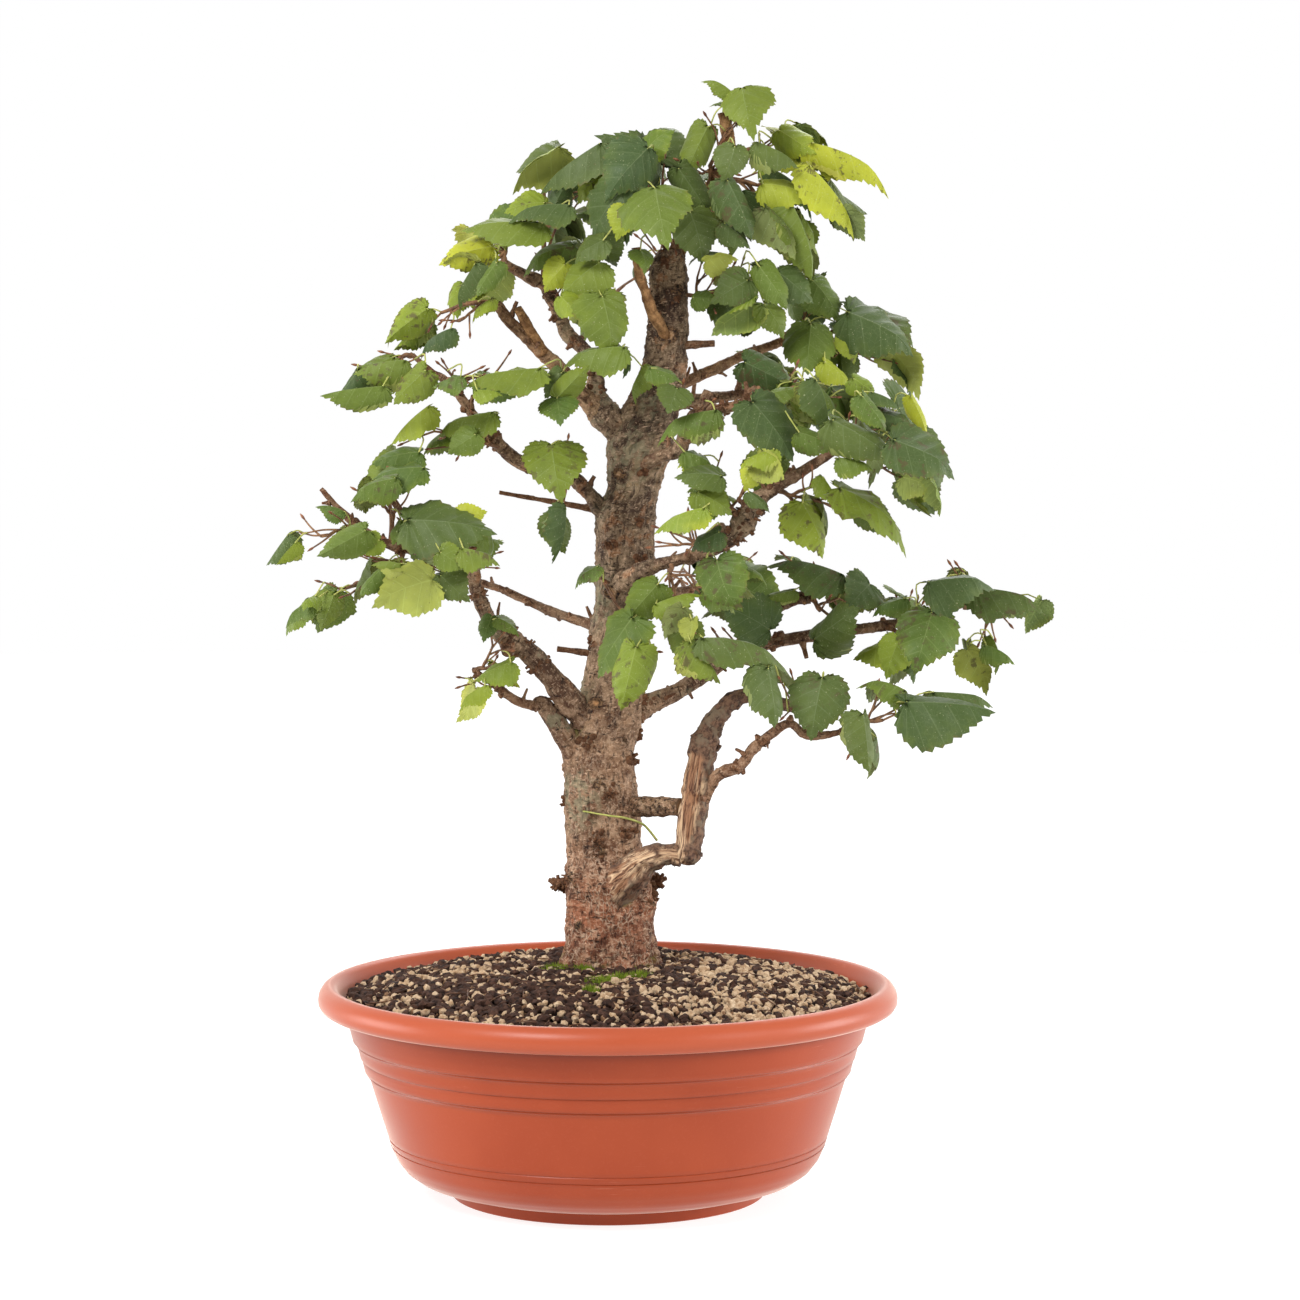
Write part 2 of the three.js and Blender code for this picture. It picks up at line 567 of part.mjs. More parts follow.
function trunkSolid(extra = 0) {
  const rings = [];
  for (let step = 0; step <= TRUNK_STEPS; step += 1) {
    const centre = trunkCurve.getPoint(step / TRUNK_STEPS);
    const height = Math.min(centre.z, TRUNK.at(-1)[0] - 0.01);
    if (step === TRUNK_STEPS) centre.z += extra;
    rings.push(
      Array.from({ length: TRUNK_SIDES }, (_, k) => {
        const angle = (TURN * k) / TRUNK_SIDES;
        const radius = trunkRadius(height, angle) + extra;
        return centre.clone().add(new THREE.Vector3(radius * Math.cos(angle), radius * Math.sin(angle), 0));
      }),
    );
  }
  return skin(rings);
}

function stubSolid({ on, at, heading, rise, length, girth }, extra = 0) {
  const start = pointOn(on, at);
  const end = start.clone().addScaledVector(aim(heading, rise), length);
  const radiusAt = (share) => THREE.MathUtils.lerp(...girth, share) / 2;
  return limbSolid(new THREE.LineCurve3(start, end), radiusAt, BOUGH_SIDES, 1, extra);
}

const stubsOf = (name) => STUBS.filter(({ on }) => on === name);

// A limb with its stubs, or the same grown by `extra` to cut its neighbours back with.
function limbWithStubs(name, extra = 0) {
  const { curve, radiusAt, steps } = limbs[name];
  const body = name === "trunk" ? trunkSolid(extra) : limbSolid(curve, radiusAt, BOUGH_SIDES, steps, extra);
  return wasm.Manifold.union([body, ...stubsOf(name).map((stub) => stubSolid(stub, extra))]);
}

// A bough is cut clear of what it grows from, and the trunk's own snag clear of the dead upright.
const solids = {};
const cutters = {};
for (const name of Object.keys(limbs)) {
  solids[name] = limbWithStubs(name);
  cutters[name] = limbWithStubs(name, GAP * 1.1);
}
solids.trunk = largest(solids.trunk.subtract(cutters.deadwood_upright));
for (const [name, { from }] of Object.entries(BOUGHS)) {
  for (const parent of new Set([from, "trunk"])) {
    if (name === "deadwood_upright" && parent === "trunk") continue;
    solids[name] = solids[name].subtract(cutters[parent]);
  }
  solids[name] = largest(solids[name]);
}

// ---------------------------------------------------------------- foliage

// Every limb and stub as a run of balls with the radius there.
const balls = [];
function addBalls(owner, curve, radiusAt, spacing) {
  const count = Math.ceil(curve.getLength() / spacing);
  for (let k = 0; k <= count; k += 1) {
    balls.push({ owner, point: curve.getPoint(k / count), radius: radiusAt(k / count) });
  }
}
for (const [name, { curve, radiusAt }] of Object.entries(limbs)) {
  const allowance = name === "trunk" ? TRUNK_ALLOWANCE : 1;
  addBalls(name, curve, (share) => radiusAt(share) * allowance, BALL_SPACING);
}
for (const { on, at, heading, rise, length, girth } of STUBS) {
  const start = pointOn(on, at);
  const line = new THREE.LineCurve3(start, start.clone().addScaledVector(aim(heading, rise), length));
  addBalls(on, line, (share) => THREE.MathUtils.lerp(...girth, share) / 2, BALL_SPACING);
}

function clearOf(points, clearance, ...ignored) {
  return balls.every(({ owner, point, radius }) => {
    if (ignored.includes(owner)) return true;
    const near = radius + clearance;
    return points.every((other) => other.distanceToSquared(point) > near * near);
  });
}

// The radius of a limb where it comes nearest a point.
function radiusNear(name, place) {
  const own = balls.filter(({ owner }) => owner === name);
  const nearest = own.sort((a, b) => a.point.distanceTo(place) - b.point.distanceTo(place))[0];
  return nearest.radius;
}

// A stem bows upwards and a side twig is straight, if that keeps them clear of every other limb.
// Otherwise they bow another way, and further, until they are clear. It stops short of the leaves.
function twigTo(start, centre, reach, mass, host) {
  const whole = start.distanceTo(centre);
  const least = host ? radiusNear(host, start) + STEM_SHOWS : 0;
  const share = Math.max(1 - (TWIG_ENDS * reach) / whole, SHORTEST_TWIG, least / whole);
  const end = start.clone().lerp(centre, Math.min(share, 1));
  const ahead = end.clone().sub(start).normalize();
  const side = new THREE.Vector3(0, 0, 1).cross(ahead).normalize();
  const up = ahead.clone().cross(side);
  for (let turn = host ? 1 : 0; turn <= BOW_WAYS * MOST_BOWS; turn += 1) {
    const angle = (TURN * ((turn - 1) % BOW_WAYS) * BOW_SKIP) / BOW_WAYS;
    const bow = start.distanceTo(end) * BOW * Math.ceil(turn / BOW_WAYS);
    const bend = start.clone().lerp(end, 0.5);
    bend.addScaledVector(up, bow * Math.cos(angle)).addScaledVector(side, bow * Math.sin(angle));
    const curve = turn ? smooth([start, bend, end]) : new THREE.LineCurve3(start, end);
    const points = curve.getSpacedPoints(TWIG_TOUCHES).slice(2);
    const free = curve.getPoint(host ? 1 : 0.5);
    if (clearOf(points, TWIG_CLEARANCE, mass, host) && clearOf([free], TWIG_CLEARANCE, mass)) {
      return { curve, steps: turn ? 2 : 1 };
    }
  }
  return null;
}

// Each mass's shoots, with the sphere that each keeps to and the twig that runs towards it.
const shoots = [];
for (const [mass, { on, at, shoots: rows }] of Object.entries(MASSES)) {
  const foot = pointOn(on, at);
  if (on !== "trunk" && at === 1) foot.addScaledVector(limbs[on].curve.getTangent(1), GAP);
  let stem = null;
  let firstFork = FORKS[0];
  for (const [row, [length, heading, rise, reach, leaves]] of rows.entries()) {
    const centre = foot.clone().addScaledVector(aim(heading, rise), length);
    const forkShare = THREE.MathUtils.lerp(firstFork, FORKS[1], (row - 1) / (rows.length - 1));
    const twig = stem
      ? twigTo(stem.getPoint(forkShare), centre, reach, mass)
      : twigTo(foot, centre, reach, mass, on);
    if (!twig) continue;
    const taper = stem ? TWIG_RADIUS : STEM_RADIUS;
    const radiusAt = (share) => THREE.MathUtils.lerp(...taper, share);
    shoots.push({ mass, centre, heading, reach, leaves, twig: twig.curve, steps: twig.steps, radiusAt });
    addBalls(mass, twig.curve, radiusAt, TWIG_BALL_SPACING);
    if (!stem) {
      stem = twig.curve;
      while (firstFork < FORKS[1] && !clearOf([stem.getPoint(firstFork)], FORK_CLEARANCE, mass)) {
        firstFork += FORK_STEP;
      }
    }
  }
}

// A point's share of a sphere's ground: the lowest wins, so the spheres part space by flat walls.
const claim = (point, { centre, reach }) => point.distanceToSquared(centre) - reach * reach;

function keepsToItsSpace(point, shoot) {
  return shoots.every((rival) => {
    if (rival.mass === shoot.mass) return true;
    const apart = 2 * rival.centre.distanceTo(shoot.centre);
    return (claim(point, rival) - claim(point, shoot)) / apart > GAP;
  });
}

// A leaf's corners: its rim from the tip round by both halves, its middle above and below, the
// underside of the stalk's end, then the stalk's foot.
function leafCorners({ base, along, across, normal, length, fold, joint }) {
  const place = (u, v, lift) =>
    base.clone()
      .addScaledVector(along, u * length)
      .addScaledVector(across, v * length * Math.cos(fold))
      .addScaledVector(normal, Math.abs(v) * length * Math.sin(fold) + lift);
  const half = (sign) => LEAF_HALF.map(([u, v]) => place(u, sign * v, 0));
  const stalk = joint.clone().sub(base).normalize();
  const width = across.clone().addScaledVector(stalk, -across.dot(stalk)).normalize();
  const depth = stalk.clone().cross(width);
  const thick = (LEAF_THICKNESS / 2) * length;
  const edge = STALK_RADIUS / length;
  return {
    rim: [place(1, 0, 0), ...half(1), place(0, edge, 0), place(0, -edge, 0), ...half(-1).reverse()],
    middles: [place(LEAF_MIDDLE, 0, thick), place(LEAF_MIDDLE, 0, -thick)],
    under: place(0, 0, -1.5 * STALK_RADIUS),
    foot: [[1, -0.4], [-1, -0.4], [0, 0.8]].map(([sideways, deep]) =>
      joint.clone()
        .addScaledVector(width, sideways * STALK_RADIUS)
        .addScaledVector(depth, deep * STALK_RADIUS),
    ),
  };
}

function leafSolid({ rim, middles, under, foot }) {
  const [above, below] = [rim.length, rim.length + 1];
  const [beneath, footLeft, footRight, footUnder] = [2, 3, 4, 5].map((k) => rim.length + k);
  const left = LEAF_HALF.length + 1;
  const right = left + 1;
  const index = [];
  for (let k = 0; k < rim.length; k += 1) {
    const next = (k + 1) % rim.length;
    index.push(k, next, above);
    if (k !== left) index.push(next, k, below);
  }
  index.push(beneath, left, below, right, beneath, below);
  index.push(left, beneath, footUnder, left, footUnder, footLeft);
  index.push(beneath, right, footRight, beneath, footRight, footUnder);
  index.push(right, left, footLeft, right, footLeft, footRight, footLeft, footUnder, footRight);
  const points = [...rim, ...middles, under, ...foot];
  return solidOf(new THREE.BufferGeometry().setFromPoints(points).setIndex(index));
}

// Points all over a leaf, close enough together to feel a limb between them.
function touchPoints({ rim, middles }, base, joint) {
  const points = [];
  for (let k = 0; k < rim.length; k += 1) {
    const edge = rim[k].clone().lerp(rim[(k + 1) % rim.length], 0.5);
    for (const outer of [rim[k], edge]) {
      for (const share of [0.25, 0.5, 0.75, 1]) points.push(middles[0].clone().lerp(outer, share));
    }
  }
  for (const share of [0.25, 0.5, 0.75, 1]) points.push(joint.clone().lerp(base, share));
  return points;
}

// The stalk leaves the blade's foot backwards or well out of its plane, never along the blade.
function joinsWell({ base, along, across, normal, joint }) {
  const stalk = joint.clone().sub(base);
  const length = stalk.length();
  stalk.divideScalar(length);
  const sideways = Math.abs(stalk.dot(across));
  const behind = -stalk.dot(along);
  const outOfPlane = Math.abs(stalk.dot(normal));
  const [shortest, longest] = STALK_LENGTHS;
  if (length < shortest || length > longest) return false;
  if (behind > STALK_BACK && sideways < behind) return true;
  return outOfPlane > STALK_OUT.normal && sideways < STALK_OUT.across && behind > -STALK_OUT.forwards;
}

// A leaf whose middle and pose are drawn at random, on a stalk from a free place on its twig. The
// blade carries on from the stalk or bends away from it, mostly downwards, and may roll over.
function drawLeaf({ centre, heading, reach, twig }, leaf, attempt, size, places, between) {
  const strays = between(-LEAF_STRAYS, LEAF_STRAYS) * (1 + attempt / STRAYS_TWICE);
  const outwards = aim(heading + leaf * GOLDEN_ANGLE + strays, between(...LEAF_RISES));
  const middle = centre.clone().addScaledVector(outwards, reach * between(...LEAF_SPREAD));
  const place = places[Math.floor(between(0, places.length - 0.01))];
  const joint = twig.getPoint(place);
  const outward = middle.clone().sub(joint);
  const away = outward.length();
  outward.divideScalar(away);
  const wanted = Math.min(size * reach * LEAF_SHRINK ** attempt, (NEAREST_BASE * away) / BLADE_MIDDLE);
  const length = THREE.MathUtils.clamp(wanted, ...LEAF_LENGTHS);
  const bend = between(...BENDS) * Math.acos(Math.min((BLADE_MIDDLE * length) / away, 1));
  const hinge = outward.clone().cross(new THREE.Vector3(0, 0, 1)).normalize();
  hinge.applyAxisAngle(outward, radians(between(...HINGE_TURNS)));
  const along = outward.clone().applyAxisAngle(hinge, -bend);
  const roll = radians(between(-1, 1) * THREE.MathUtils.lerp(...ROLLS, bend));
  const across = hinge.negate().applyAxisAngle(along, roll);
  const normal = along.clone().cross(across);
  const fold = radians(between(...FOLDS));
  const base = middle.addScaledVector(along, -BLADE_MIDDLE * length);
  const pose = { base, along, across, normal, length, fold, place, joint };
  return joinsWell(pose) ? pose : null;
}

// Leaves of one shoot: each is tried at new places and smaller sizes until it fits its space,
// stays clear of the limbs and of its neighbours, and meets the wood only at its stalk's foot.
function growLeaves(shoot, between, grown, wood) {
  const { centre, reach, leaves, mass } = shoot;
  let places = STALK_PLACES;
  for (let leaf = 0; leaf < leaves; leaf += 1) {
    const size = between(...LEAF_SIZES);
    for (let attempt = 0; attempt < LEAF_TRIES; attempt += 1) {
      const pose = drawLeaf(shoot, leaf, attempt, size, places, between);
      if (!pose) continue;
      const corners = leafCorners(pose);
      const inSpace =
        corners.rim.every((point) => point.distanceTo(centre) < reach && keepsToItsSpace(point, shoot)) &&
        keepsToItsSpace(pose.joint, shoot) &&
        clearOf(touchPoints(corners, pose.base, pose.joint), LIMB_CLEARANCE, mass);
      if (!inSpace) continue;
      const solid = leafSolid(corners);
      if (wood.intersect(solid).decompose().length !== 1) continue;
      if (grown.some((other) => !other.intersect(solid).isEmpty())) continue;
      grown.push(solid);
      places = places.filter((place) => place !== pose.place);
      break;
    }
  }
}

function massSolid(name, { on, seed }) {
  const between = seeded(seed);
  const own = shoots.filter(({ mass }) => mass === name);
  const wood = wasm.Manifold.union(
    own.map(({ twig, steps, radiusAt }) => limbSolid(twig, radiusAt, TWIG_SIDES, steps)),
  );
  const grown = [];
  for (const shoot of own) growLeaves(shoot, between, grown, wood);
  const cut = wasm.Manifold.union([wood, ...grown]).subtract(cutters[on]);
  return largest(cut).simplify(SLIVER);
}

// ---------------------------------------------------------------- bowl and soil

function spun(profile) {
  const points = profile.map(([radius, height]) => new THREE.Vector2(radius, height));
  return new THREE.LatheGeometry(points, BOWL_SIDES).rotateX(Math.PI / 2);
}

function bowlSolid() {
  const bowl = solidOf(spun([[0, 0], ...BOWL_OUTSIDE, ...BOWL_INSIDE, [0, FLOOR]]));
  const holes = Array.from({ length: DRAIN_HOLES }, (_, k) => {
    const angle = (TURN * (k + 0.5)) / DRAIN_HOLES;
    const hole = new THREE.CylinderGeometry(DRAIN_RADIUS, DRAIN_RADIUS, 4 * FLOOR, DRAIN_SIDES);
    hole.rotateX(Math.PI / 2);
    hole.translate(DRAIN_CIRCLE * Math.cos(angle), DRAIN_CIRCLE * Math.sin(angle), 0);
    return solidOf(hole);
  });
  return bowl.subtract(wasm.Manifold.union(holes));
}

function soilSolid() {
  const wall = BOWL_INSIDE.filter(([, height]) => height < SOIL_SURFACE[0][1]).reverse();
  const side = wall.map(([radius, height]) => [radius - 2 * GAP, Math.max(height, FLOOR) + GAP]);
  return solidOf(spun([[0, FLOOR + GAP], ...side, ...SOIL_SURFACE, [0, GROUND - GAP]]));
}

// ---------------------------------------------------------------- the part

const part = new THREE.Group();

function add(name, solid, look) {
  const mesh = new THREE.Mesh(geometryOf(solid), new THREE.MeshStandardMaterial(COLOURS[look]));
  mesh.name = name;
  part.add(mesh);
}

add("bowl", bowlSolid(), "bowl");
add("soil", soilSolid(), "soil");
add("trunk", solids.trunk, "bark");
for (const name of Object.keys(BOUGHS)) {
  add(name, solids[name], name.startsWith("deadwood") ? "deadwood" : "bark");
}
for (const [name, mass] of Object.entries(MASSES)) add(name, massSolid(name, mass), "foliage");

export default part;
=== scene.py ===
"""Looks of a linden bonsai in a round training bowl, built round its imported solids.

Lengths are in millimetres, in the frame of the solids, and become metres when a mesh is made.
Headings are seen from above: 0 is +X (right), 90 is +Y (back), 180 is left and 270 is the front.
The tables of the limbs and of the foliage repeat the driving dimensions of the solids.
"""

import math

import bpy
import numpy as np
from mathutils import Euler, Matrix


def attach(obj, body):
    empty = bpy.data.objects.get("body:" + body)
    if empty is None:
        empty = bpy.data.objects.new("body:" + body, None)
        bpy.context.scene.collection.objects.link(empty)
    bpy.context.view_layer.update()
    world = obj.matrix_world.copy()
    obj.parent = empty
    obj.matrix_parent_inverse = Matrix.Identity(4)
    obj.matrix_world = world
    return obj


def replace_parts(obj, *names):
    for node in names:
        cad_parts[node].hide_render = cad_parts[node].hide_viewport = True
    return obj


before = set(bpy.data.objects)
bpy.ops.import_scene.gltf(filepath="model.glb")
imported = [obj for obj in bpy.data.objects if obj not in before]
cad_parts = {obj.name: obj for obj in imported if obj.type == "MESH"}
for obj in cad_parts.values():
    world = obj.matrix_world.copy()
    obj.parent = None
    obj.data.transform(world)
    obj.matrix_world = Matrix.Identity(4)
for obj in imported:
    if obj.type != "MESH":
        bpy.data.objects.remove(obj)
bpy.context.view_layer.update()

MM = 0.001
TURN = 2 * math.pi
DEGREE = math.pi / 180
UP = np.array([0.0, 0.0, 1.0])

# ------------------------------------------------------------------ camera, fitted to the bowl's rims

IMAGE = 1300  # pixels a side, the frame that the pixel places below are given in
FOCAL = 3512  # pixels
EYE = np.array([29.0, -2412.0, 528.0])
PITCH = 3.6  # degrees down
SENSOR = 36.0

# ------------------------------------------------------------------ bowl and soil

BOWL_SIDES = 192
BOWL_OUTSIDE = [
    [108, 0], [108.7, 0.5], [109, 8.4], [110.2, 9.4], [122, 10.6], [133, 13.8], [141, 19.4], [146.5, 26.5],
    [149.6, 33.4], [150.6, 35.6], [150.1, 36.1], [150.9, 36.9], [152, 40.4], [151.6, 41], [152.3, 41.8],
    [158.6, 62], [165.4, 84.4], [166.8, 85.2], [166.6, 86.2], [168.2, 87.2], [170, 94.6], [169.8, 95.8],
    [171.2, 96.8], [173.4, 105.8], [174.6, 106.6], [174.4, 107.6], [176.4, 108.8], [178.8, 118],
    [180.2, 126.6], [181.6, 128.4], [190, 128.8], [195.2, 129.4], [198.2, 131.2], [199.8, 134], [200, 137.2],
    [199.2, 141], [197, 144.4], [194, 146.6], [191.4, 147], [189, 146.2],
]
BOWL_INSIDE = [
    [187.2, 144], [184.6, 138.6], [183, 133], [172.4, 110], [148.4, 42], [139, 26], [120, 15],
    [105.5, 12.8], [104, 4],
]
FLOOR = 4
DRAIN_HOLES = 4
DRAIN_RADIUS = 6
DRAIN_CIRCLE = 62

GROUND = 152
GAP = 0.3
SOIL_SURFACE = [[182.4, 135.4], [120, 149], [80, GROUND - GAP]]
SOIL_RIM = [180.6, 130.5]
SOIL_TOP = [181.6, 2]  # the radii between which the bed's top is rough
SOIL_RINGS = 90
SOIL_SIDES = 180
GRAINS = 6400
GRAIN_CIRCLE = 178.5
GRAIN_SIZES = {"pumice": [3.2, 7.8], "chips": [3.6, 13], "grit": [2.4, 5.2]}
GRAIN_FLATNESS = {"pumice": [0.7, 1], "chips": [0.35, 0.6], "grit": [0.7, 1]}
LITTER = 170
LITTER_CIRCLE = 176
LITTER_LENGTHS = [7, 24]
LITTER_RADIUS = [0.5, 0.35]

# ------------------------------------------------------------------ trunk and boughs

# Trunk: [height, x, y, radius] from the soil to the cut top of the leader.
TRUNK = [
    [152, -1, 40, 31], [181, 0, 40, 29.3], [208, 0, 40, 30.3], [233, -3, 40, 25.4], [269, -4, 40, 25.6],
    [300, -5, 40, 24.2], [332, 1, 40, 21.2], [374, 4, 40, 18.6], [409, 9, 40, 19.3],
    [465, 12, 40, 20.2], [486, 18, 40, 17.8], [513, 23, 42, 20.6], [545, 32, 44, 17.6],
    [583, 40, 45, 14.2], [618, 42, 46, 13.8], [640, 42, 46, 12.8], [653, 44, 46, 8.8],
]

# Boughs: foot is inside the host, each leg is [length, heading, rise], girth is the diameter at even steps.
BOUGHS = {
    "bough_lowest_left": dict(
        host="trunk", foot=[-13, 38, 290],
        girth=[15.5, 14.8, 13.8, 11.5, 7, 6.2, 4.8, 3.4],
        legs=[
            [24, 210, 49], [25, 213, 54], [12, 196, 52], [7, 196, -10], [14, 198, 19], [21, 194, 37],
            [14, 190, 35],
        ],
    ),
    "bough_low_left": dict(
        host="trunk", foot=[-6, 38, 314],
        girth=[19.5, 17.3, 15.2, 13.8, 15, 12.3, 10.3, 9, 8.2, 7.6],
        legs=[
            [29, 218, 43], [26, 215, 48], [28, 211, 46], [19, 199, 36], [15, 205, 40], [14, 204, 59],
            [16, 200, 68], [15, 238, 81], [12, 180, 77],
        ],
    ),
    "bough_far_left": dict(
        host="bough_low_left", foot=[-94, -12, 442],
        girth=[8.4, 8.2, 8, 7.4, 6.6, 5.4, 4.2, 3],
        legs=[
            [13, 198, 10], [15, 196, 3], [19, 192, 7], [17, 194, 18], [18, 188, 34], [17, 189, 43],
            [18, 189, 48],
        ],
    ),
    "bough_thin_left": dict(
        host="trunk", foot=[-3, 50, 386],
        girth=[7.8, 7.1, 6.8, 6.2, 5.6, 5, 4.2],
        legs=[[18, 135, 17], [29, 146, 13], [23, 153, 20], [23, 158, 21], [18, 160, 15], [15, 165, 13]],
    ),
    "bough_middle_left": dict(
        host="trunk", foot=[9, 42, 451],
        girth=[13, 11.8, 11, 10.4, 9.8, 9.6, 8.3, 7.5, 6.2, 5.5, 4.6, 3.4],
        legs=[
            [24, 204, 54], [18, 210, 49], [15, 201, 41], [20, 192, 16], [21, 186, 20], [16, 190, 41],
            [18, 189, 45], [23, 189, 55], [17, 190, 49], [13, 190, 32], [16, 190, 41],
        ],
    ),
    "bough_fork_left": dict(
        host="trunk", foot=[22, 44, 512],
        girth=[25, 22, 19, 13.5, 11.2, 10.6, 10.4, 9.8, 9.6, 9, 8.2, 7],
        legs=[
            [19, 189, 48], [18, 189, 45], [14, 160, 65], [16, 91, 75], [18, 153, 60], [16, 170, 44],
            [14, 161, 65], [14, 180, 66], [11, 200, 59], [14, 189, 26], [18, 187, 28],
        ],
    ),
    "bough_crown_left": dict(
        host="bough_fork_left", foot=[-6, 40, 541],
        girth=[13.5, 12.2, 11, 10.2, 9, 8.2, 7.6, 6.8],
        legs=[
            [16, 207, 36], [17, 201, 48], [16, 201, 45], [12, 193, 42], [14, 192, 44], [16, 190, 44],
            [14, 194, 54],
        ],
    ),
    "bough_leader_front": dict(
        host="trunk", foot=[42, 40, 586],
        girth=[9.8, 8.2, 7.4, 6.8, 6.4, 6],
        legs=[[16, 251, 38], [16, 229, 49], [15, 220, 65], [12, 206, 68], [20, 216, 80]],
    ),
    "bough_top": dict(
        host="trunk", foot=[45, 45, 644],
        girth=[12, 10.5, 9.8, 9.2, 9, 8.4, 7.6],
        legs=[[18, 38, 63], [22, 11, 61], [21, 349, 60], [21, 350, 57], [15, 269, 82], [18, 205, 75]],
    ),
    "bough_upper_right": dict(
        host="trunk", foot=[36, 50, 550],
        girth=[9.8, 8.4, 7.8, 7.8, 7.1, 6.6, 6.2],
        legs=[[17, 32, 28], [20, 33, 23], [17, 29, 20], [21, 24, 24], [20, 18, 19], [19, 20, 20]],
    ),
    "bough_short_right": dict(
        host="trunk", foot=[22, 30, 502],
        girth=[9, 8.4, 9.8, 8.2, 7.5, 6.8, 6.6, 6],
        legs=[
            [22, 311, 18], [18, 324, 20], [15, 304, 61], [17, 328, 47], [16, 345, 5], [15, 344, 16],
            [14, 337, 45],
        ],
    ),
    "bough_middle_right": dict(
        host="trunk", foot=[7, 30, 416],
        girth=[16.5, 13.6, 10.3, 9, 8.4, 9.6, 16.5, 11.5, 8.8, 7.4, 6],
        legs=[
            [20, 298, 28], [20, 319, 23], [18, 332, 14], [18, 340, 14], [22, 342, 24], [19, 334, 44],
            [17, 334, 59], [17, 352, 34], [20, 347, 32], [29, 351, 32],
        ],
    ),
    "bough_low_right": dict(
        host="trunk", foot=[14, 42, 330],
        girth=[17, 14, 12.6, 11.4, 10.6, 9.4, 8.5, 7.8, 7, 5.8, 4.8, 3.5],
        legs=[
            [19, 13, 21], [18, 14, 22], [24, 14, 31], [24, 14, 33], [32, 11, 16], [40, 6, 9],
            [29, 4, 7], [18, 0, 9], [25, 355, 13], [20, 354, 19], [19, 353, 24],
        ],
    ),
    "bough_low_right_fork": dict(
        host="bough_low_right", foot=[98, 62, 372],
        girth=[9.4, 8.8, 8.4, 8.4, 9.2],
        legs=[[17, 316, 60], [17, 338, 51], [19, 346, 28], [11, 349, 8]],
    ),
    "bough_back_low": dict(
        host="trunk", foot=[3, 44, 380],
        girth=[13, 11, 9.2, 7.8, 6],
        legs=[[30, 85, 30], [30, 60, 20], [30, 45, 8], [25, 40, 6]],
    ),
    "bough_back_right": dict(
        host="trunk", foot=[24, 46, 520],
        girth=[12.5, 10.5, 8.8, 7.4, 5.6],
        legs=[[35, 80, 25], [35, 45, 20], [35, 20, 8], [25, 15, 8]],
    ),
    "deadwood_arm": dict(
        host="trunk", foot=[0, 30, 202],
        girth=[30, 23, 16.5, 14, 13.6],
        legs=[[28, 314, 38], [20, 321, 36], [15, 344, 15], [9, 350, -6]],
    ),
    "deadwood_upright": dict(
        host="deadwood_arm", foot=[53, -2, 228],
        girth=[15.5, 17.8, 18.6, 19, 18.6, 17.8, 15.2, 12.4, 11, 9, 6.8, 5.2],
        legs=[
            [14, 0, 82], [17, 44, 80], [14, 44, 78], [17, 36, 79], [18, 30, 77], [13, 26, 68],
            [13, 18, 59], [15, 11, 44], [16, 7, 12], [24, 5, -16], [16, 7, -20],
        ],
    ),
    "bough_low_thin": dict(
        host="deadwood_upright", foot=[63, 4, 266],
        girth=[9.6, 8.2, 7.5, 7.6, 8.2, 6.8, 6.1, 5.4, 4.8, 4],
        legs=[
            [14, 324, 62], [16, 324, 52], [16, 344, 22], [16, 337, 51], [16, 341, 39], [15, 351, 31],
            [14, 341, -33], [14, 352, 1], [13, 351, 13],
        ],
    ),
}

# Stubs, which are snags, burrs and pruned ends: host, place along it, heading, rise, length and girth.
STUBS = [
    ["trunk", 210, 183, 0, 36, [12, 8]],
    ["trunk", 210, 338, 4, 37, [14, 9]],
    ["trunk", 264, 325, 3, 66, [15, 12.5]],
    ["trunk", 369, 185, 8, 40, [5.5, 3.6]],
    ["trunk", 467, 184, 10, 90, [6, 2.4]],
    ["trunk", 586, 350, 2, 34, [7, 4.6]],
    ["bough_low_left", 0.44, 262, -50, 13, [13, 7]],
    ["bough_far_left", 0.3, 180, 56, 42, [5.4, 4.8]],
    ["bough_crown_left", 0.53, 211, 57, 37, [7.4, 6]],
    ["bough_short_right", 0.58, 340, 68, 14, [8, 7]],
    ["bough_middle_right", 0.52, 120, 32, 15, [8, 7]],
]

FLARE = 7  # how far the root flare stands out at the soil
FLARE_HEIGHT = 13
FLARE_ROOTS = 5
FLARE_TURN = 2.4
FLARE_LOBES = 0.4
RIDGES = [[0.035, 3, 60], [0.022, 5, -35]]  # [share of the radius, how many, height in which one winds]
COLLAR_SWELL = 0.2  # a collar's swelling, as a share of its bough's girth
FIRST_SIDE = np.array([0.31, -0.87, 0.24])  # where a limb's first ring starts, turned square to the limb

# ------------------------------------------------------------------ foliage

TWIG_SIDES = 7
STEM_RADIUS = [2.2, 1.2]
TWIG_RADIUS = [1.15, 0.8]
SPRIG_RADIUS = [0.8, 0.55]
TWIG_ENDS = 0.75  # how far before its shoot's centre a twig ends, as a share of the reach
SHORTEST_TWIG = 0.45  # the least share of the way to the centre
STEM_SHOWS = 10  # how far a stem stands out of its host at least
BOW = 0.08  # each try bows a twig by this share of its length more
MOST_BOWS = 5
BOW_WAYS = 8
BOW_SKIP = 3  # a twig is bowed each way in turn, this many eighths of a turn apart
TWIG_TOUCHES = 16
TWIG_CLEARANCE = 2.4
FORKS = [0.25, 0.9]  # the shares of a stem between which its side twigs fork
FORK_STEP = 0.05
FORK_CLEARANCE = 3
LIMB_CLEARANCE = 1.2
BALL_SPACING = 3
TWIG_BALL_SPACING = 2
TRUNK_ALLOWANCE = 1.12  # for ridges and collars
GOLDEN_ANGLE = 137.5

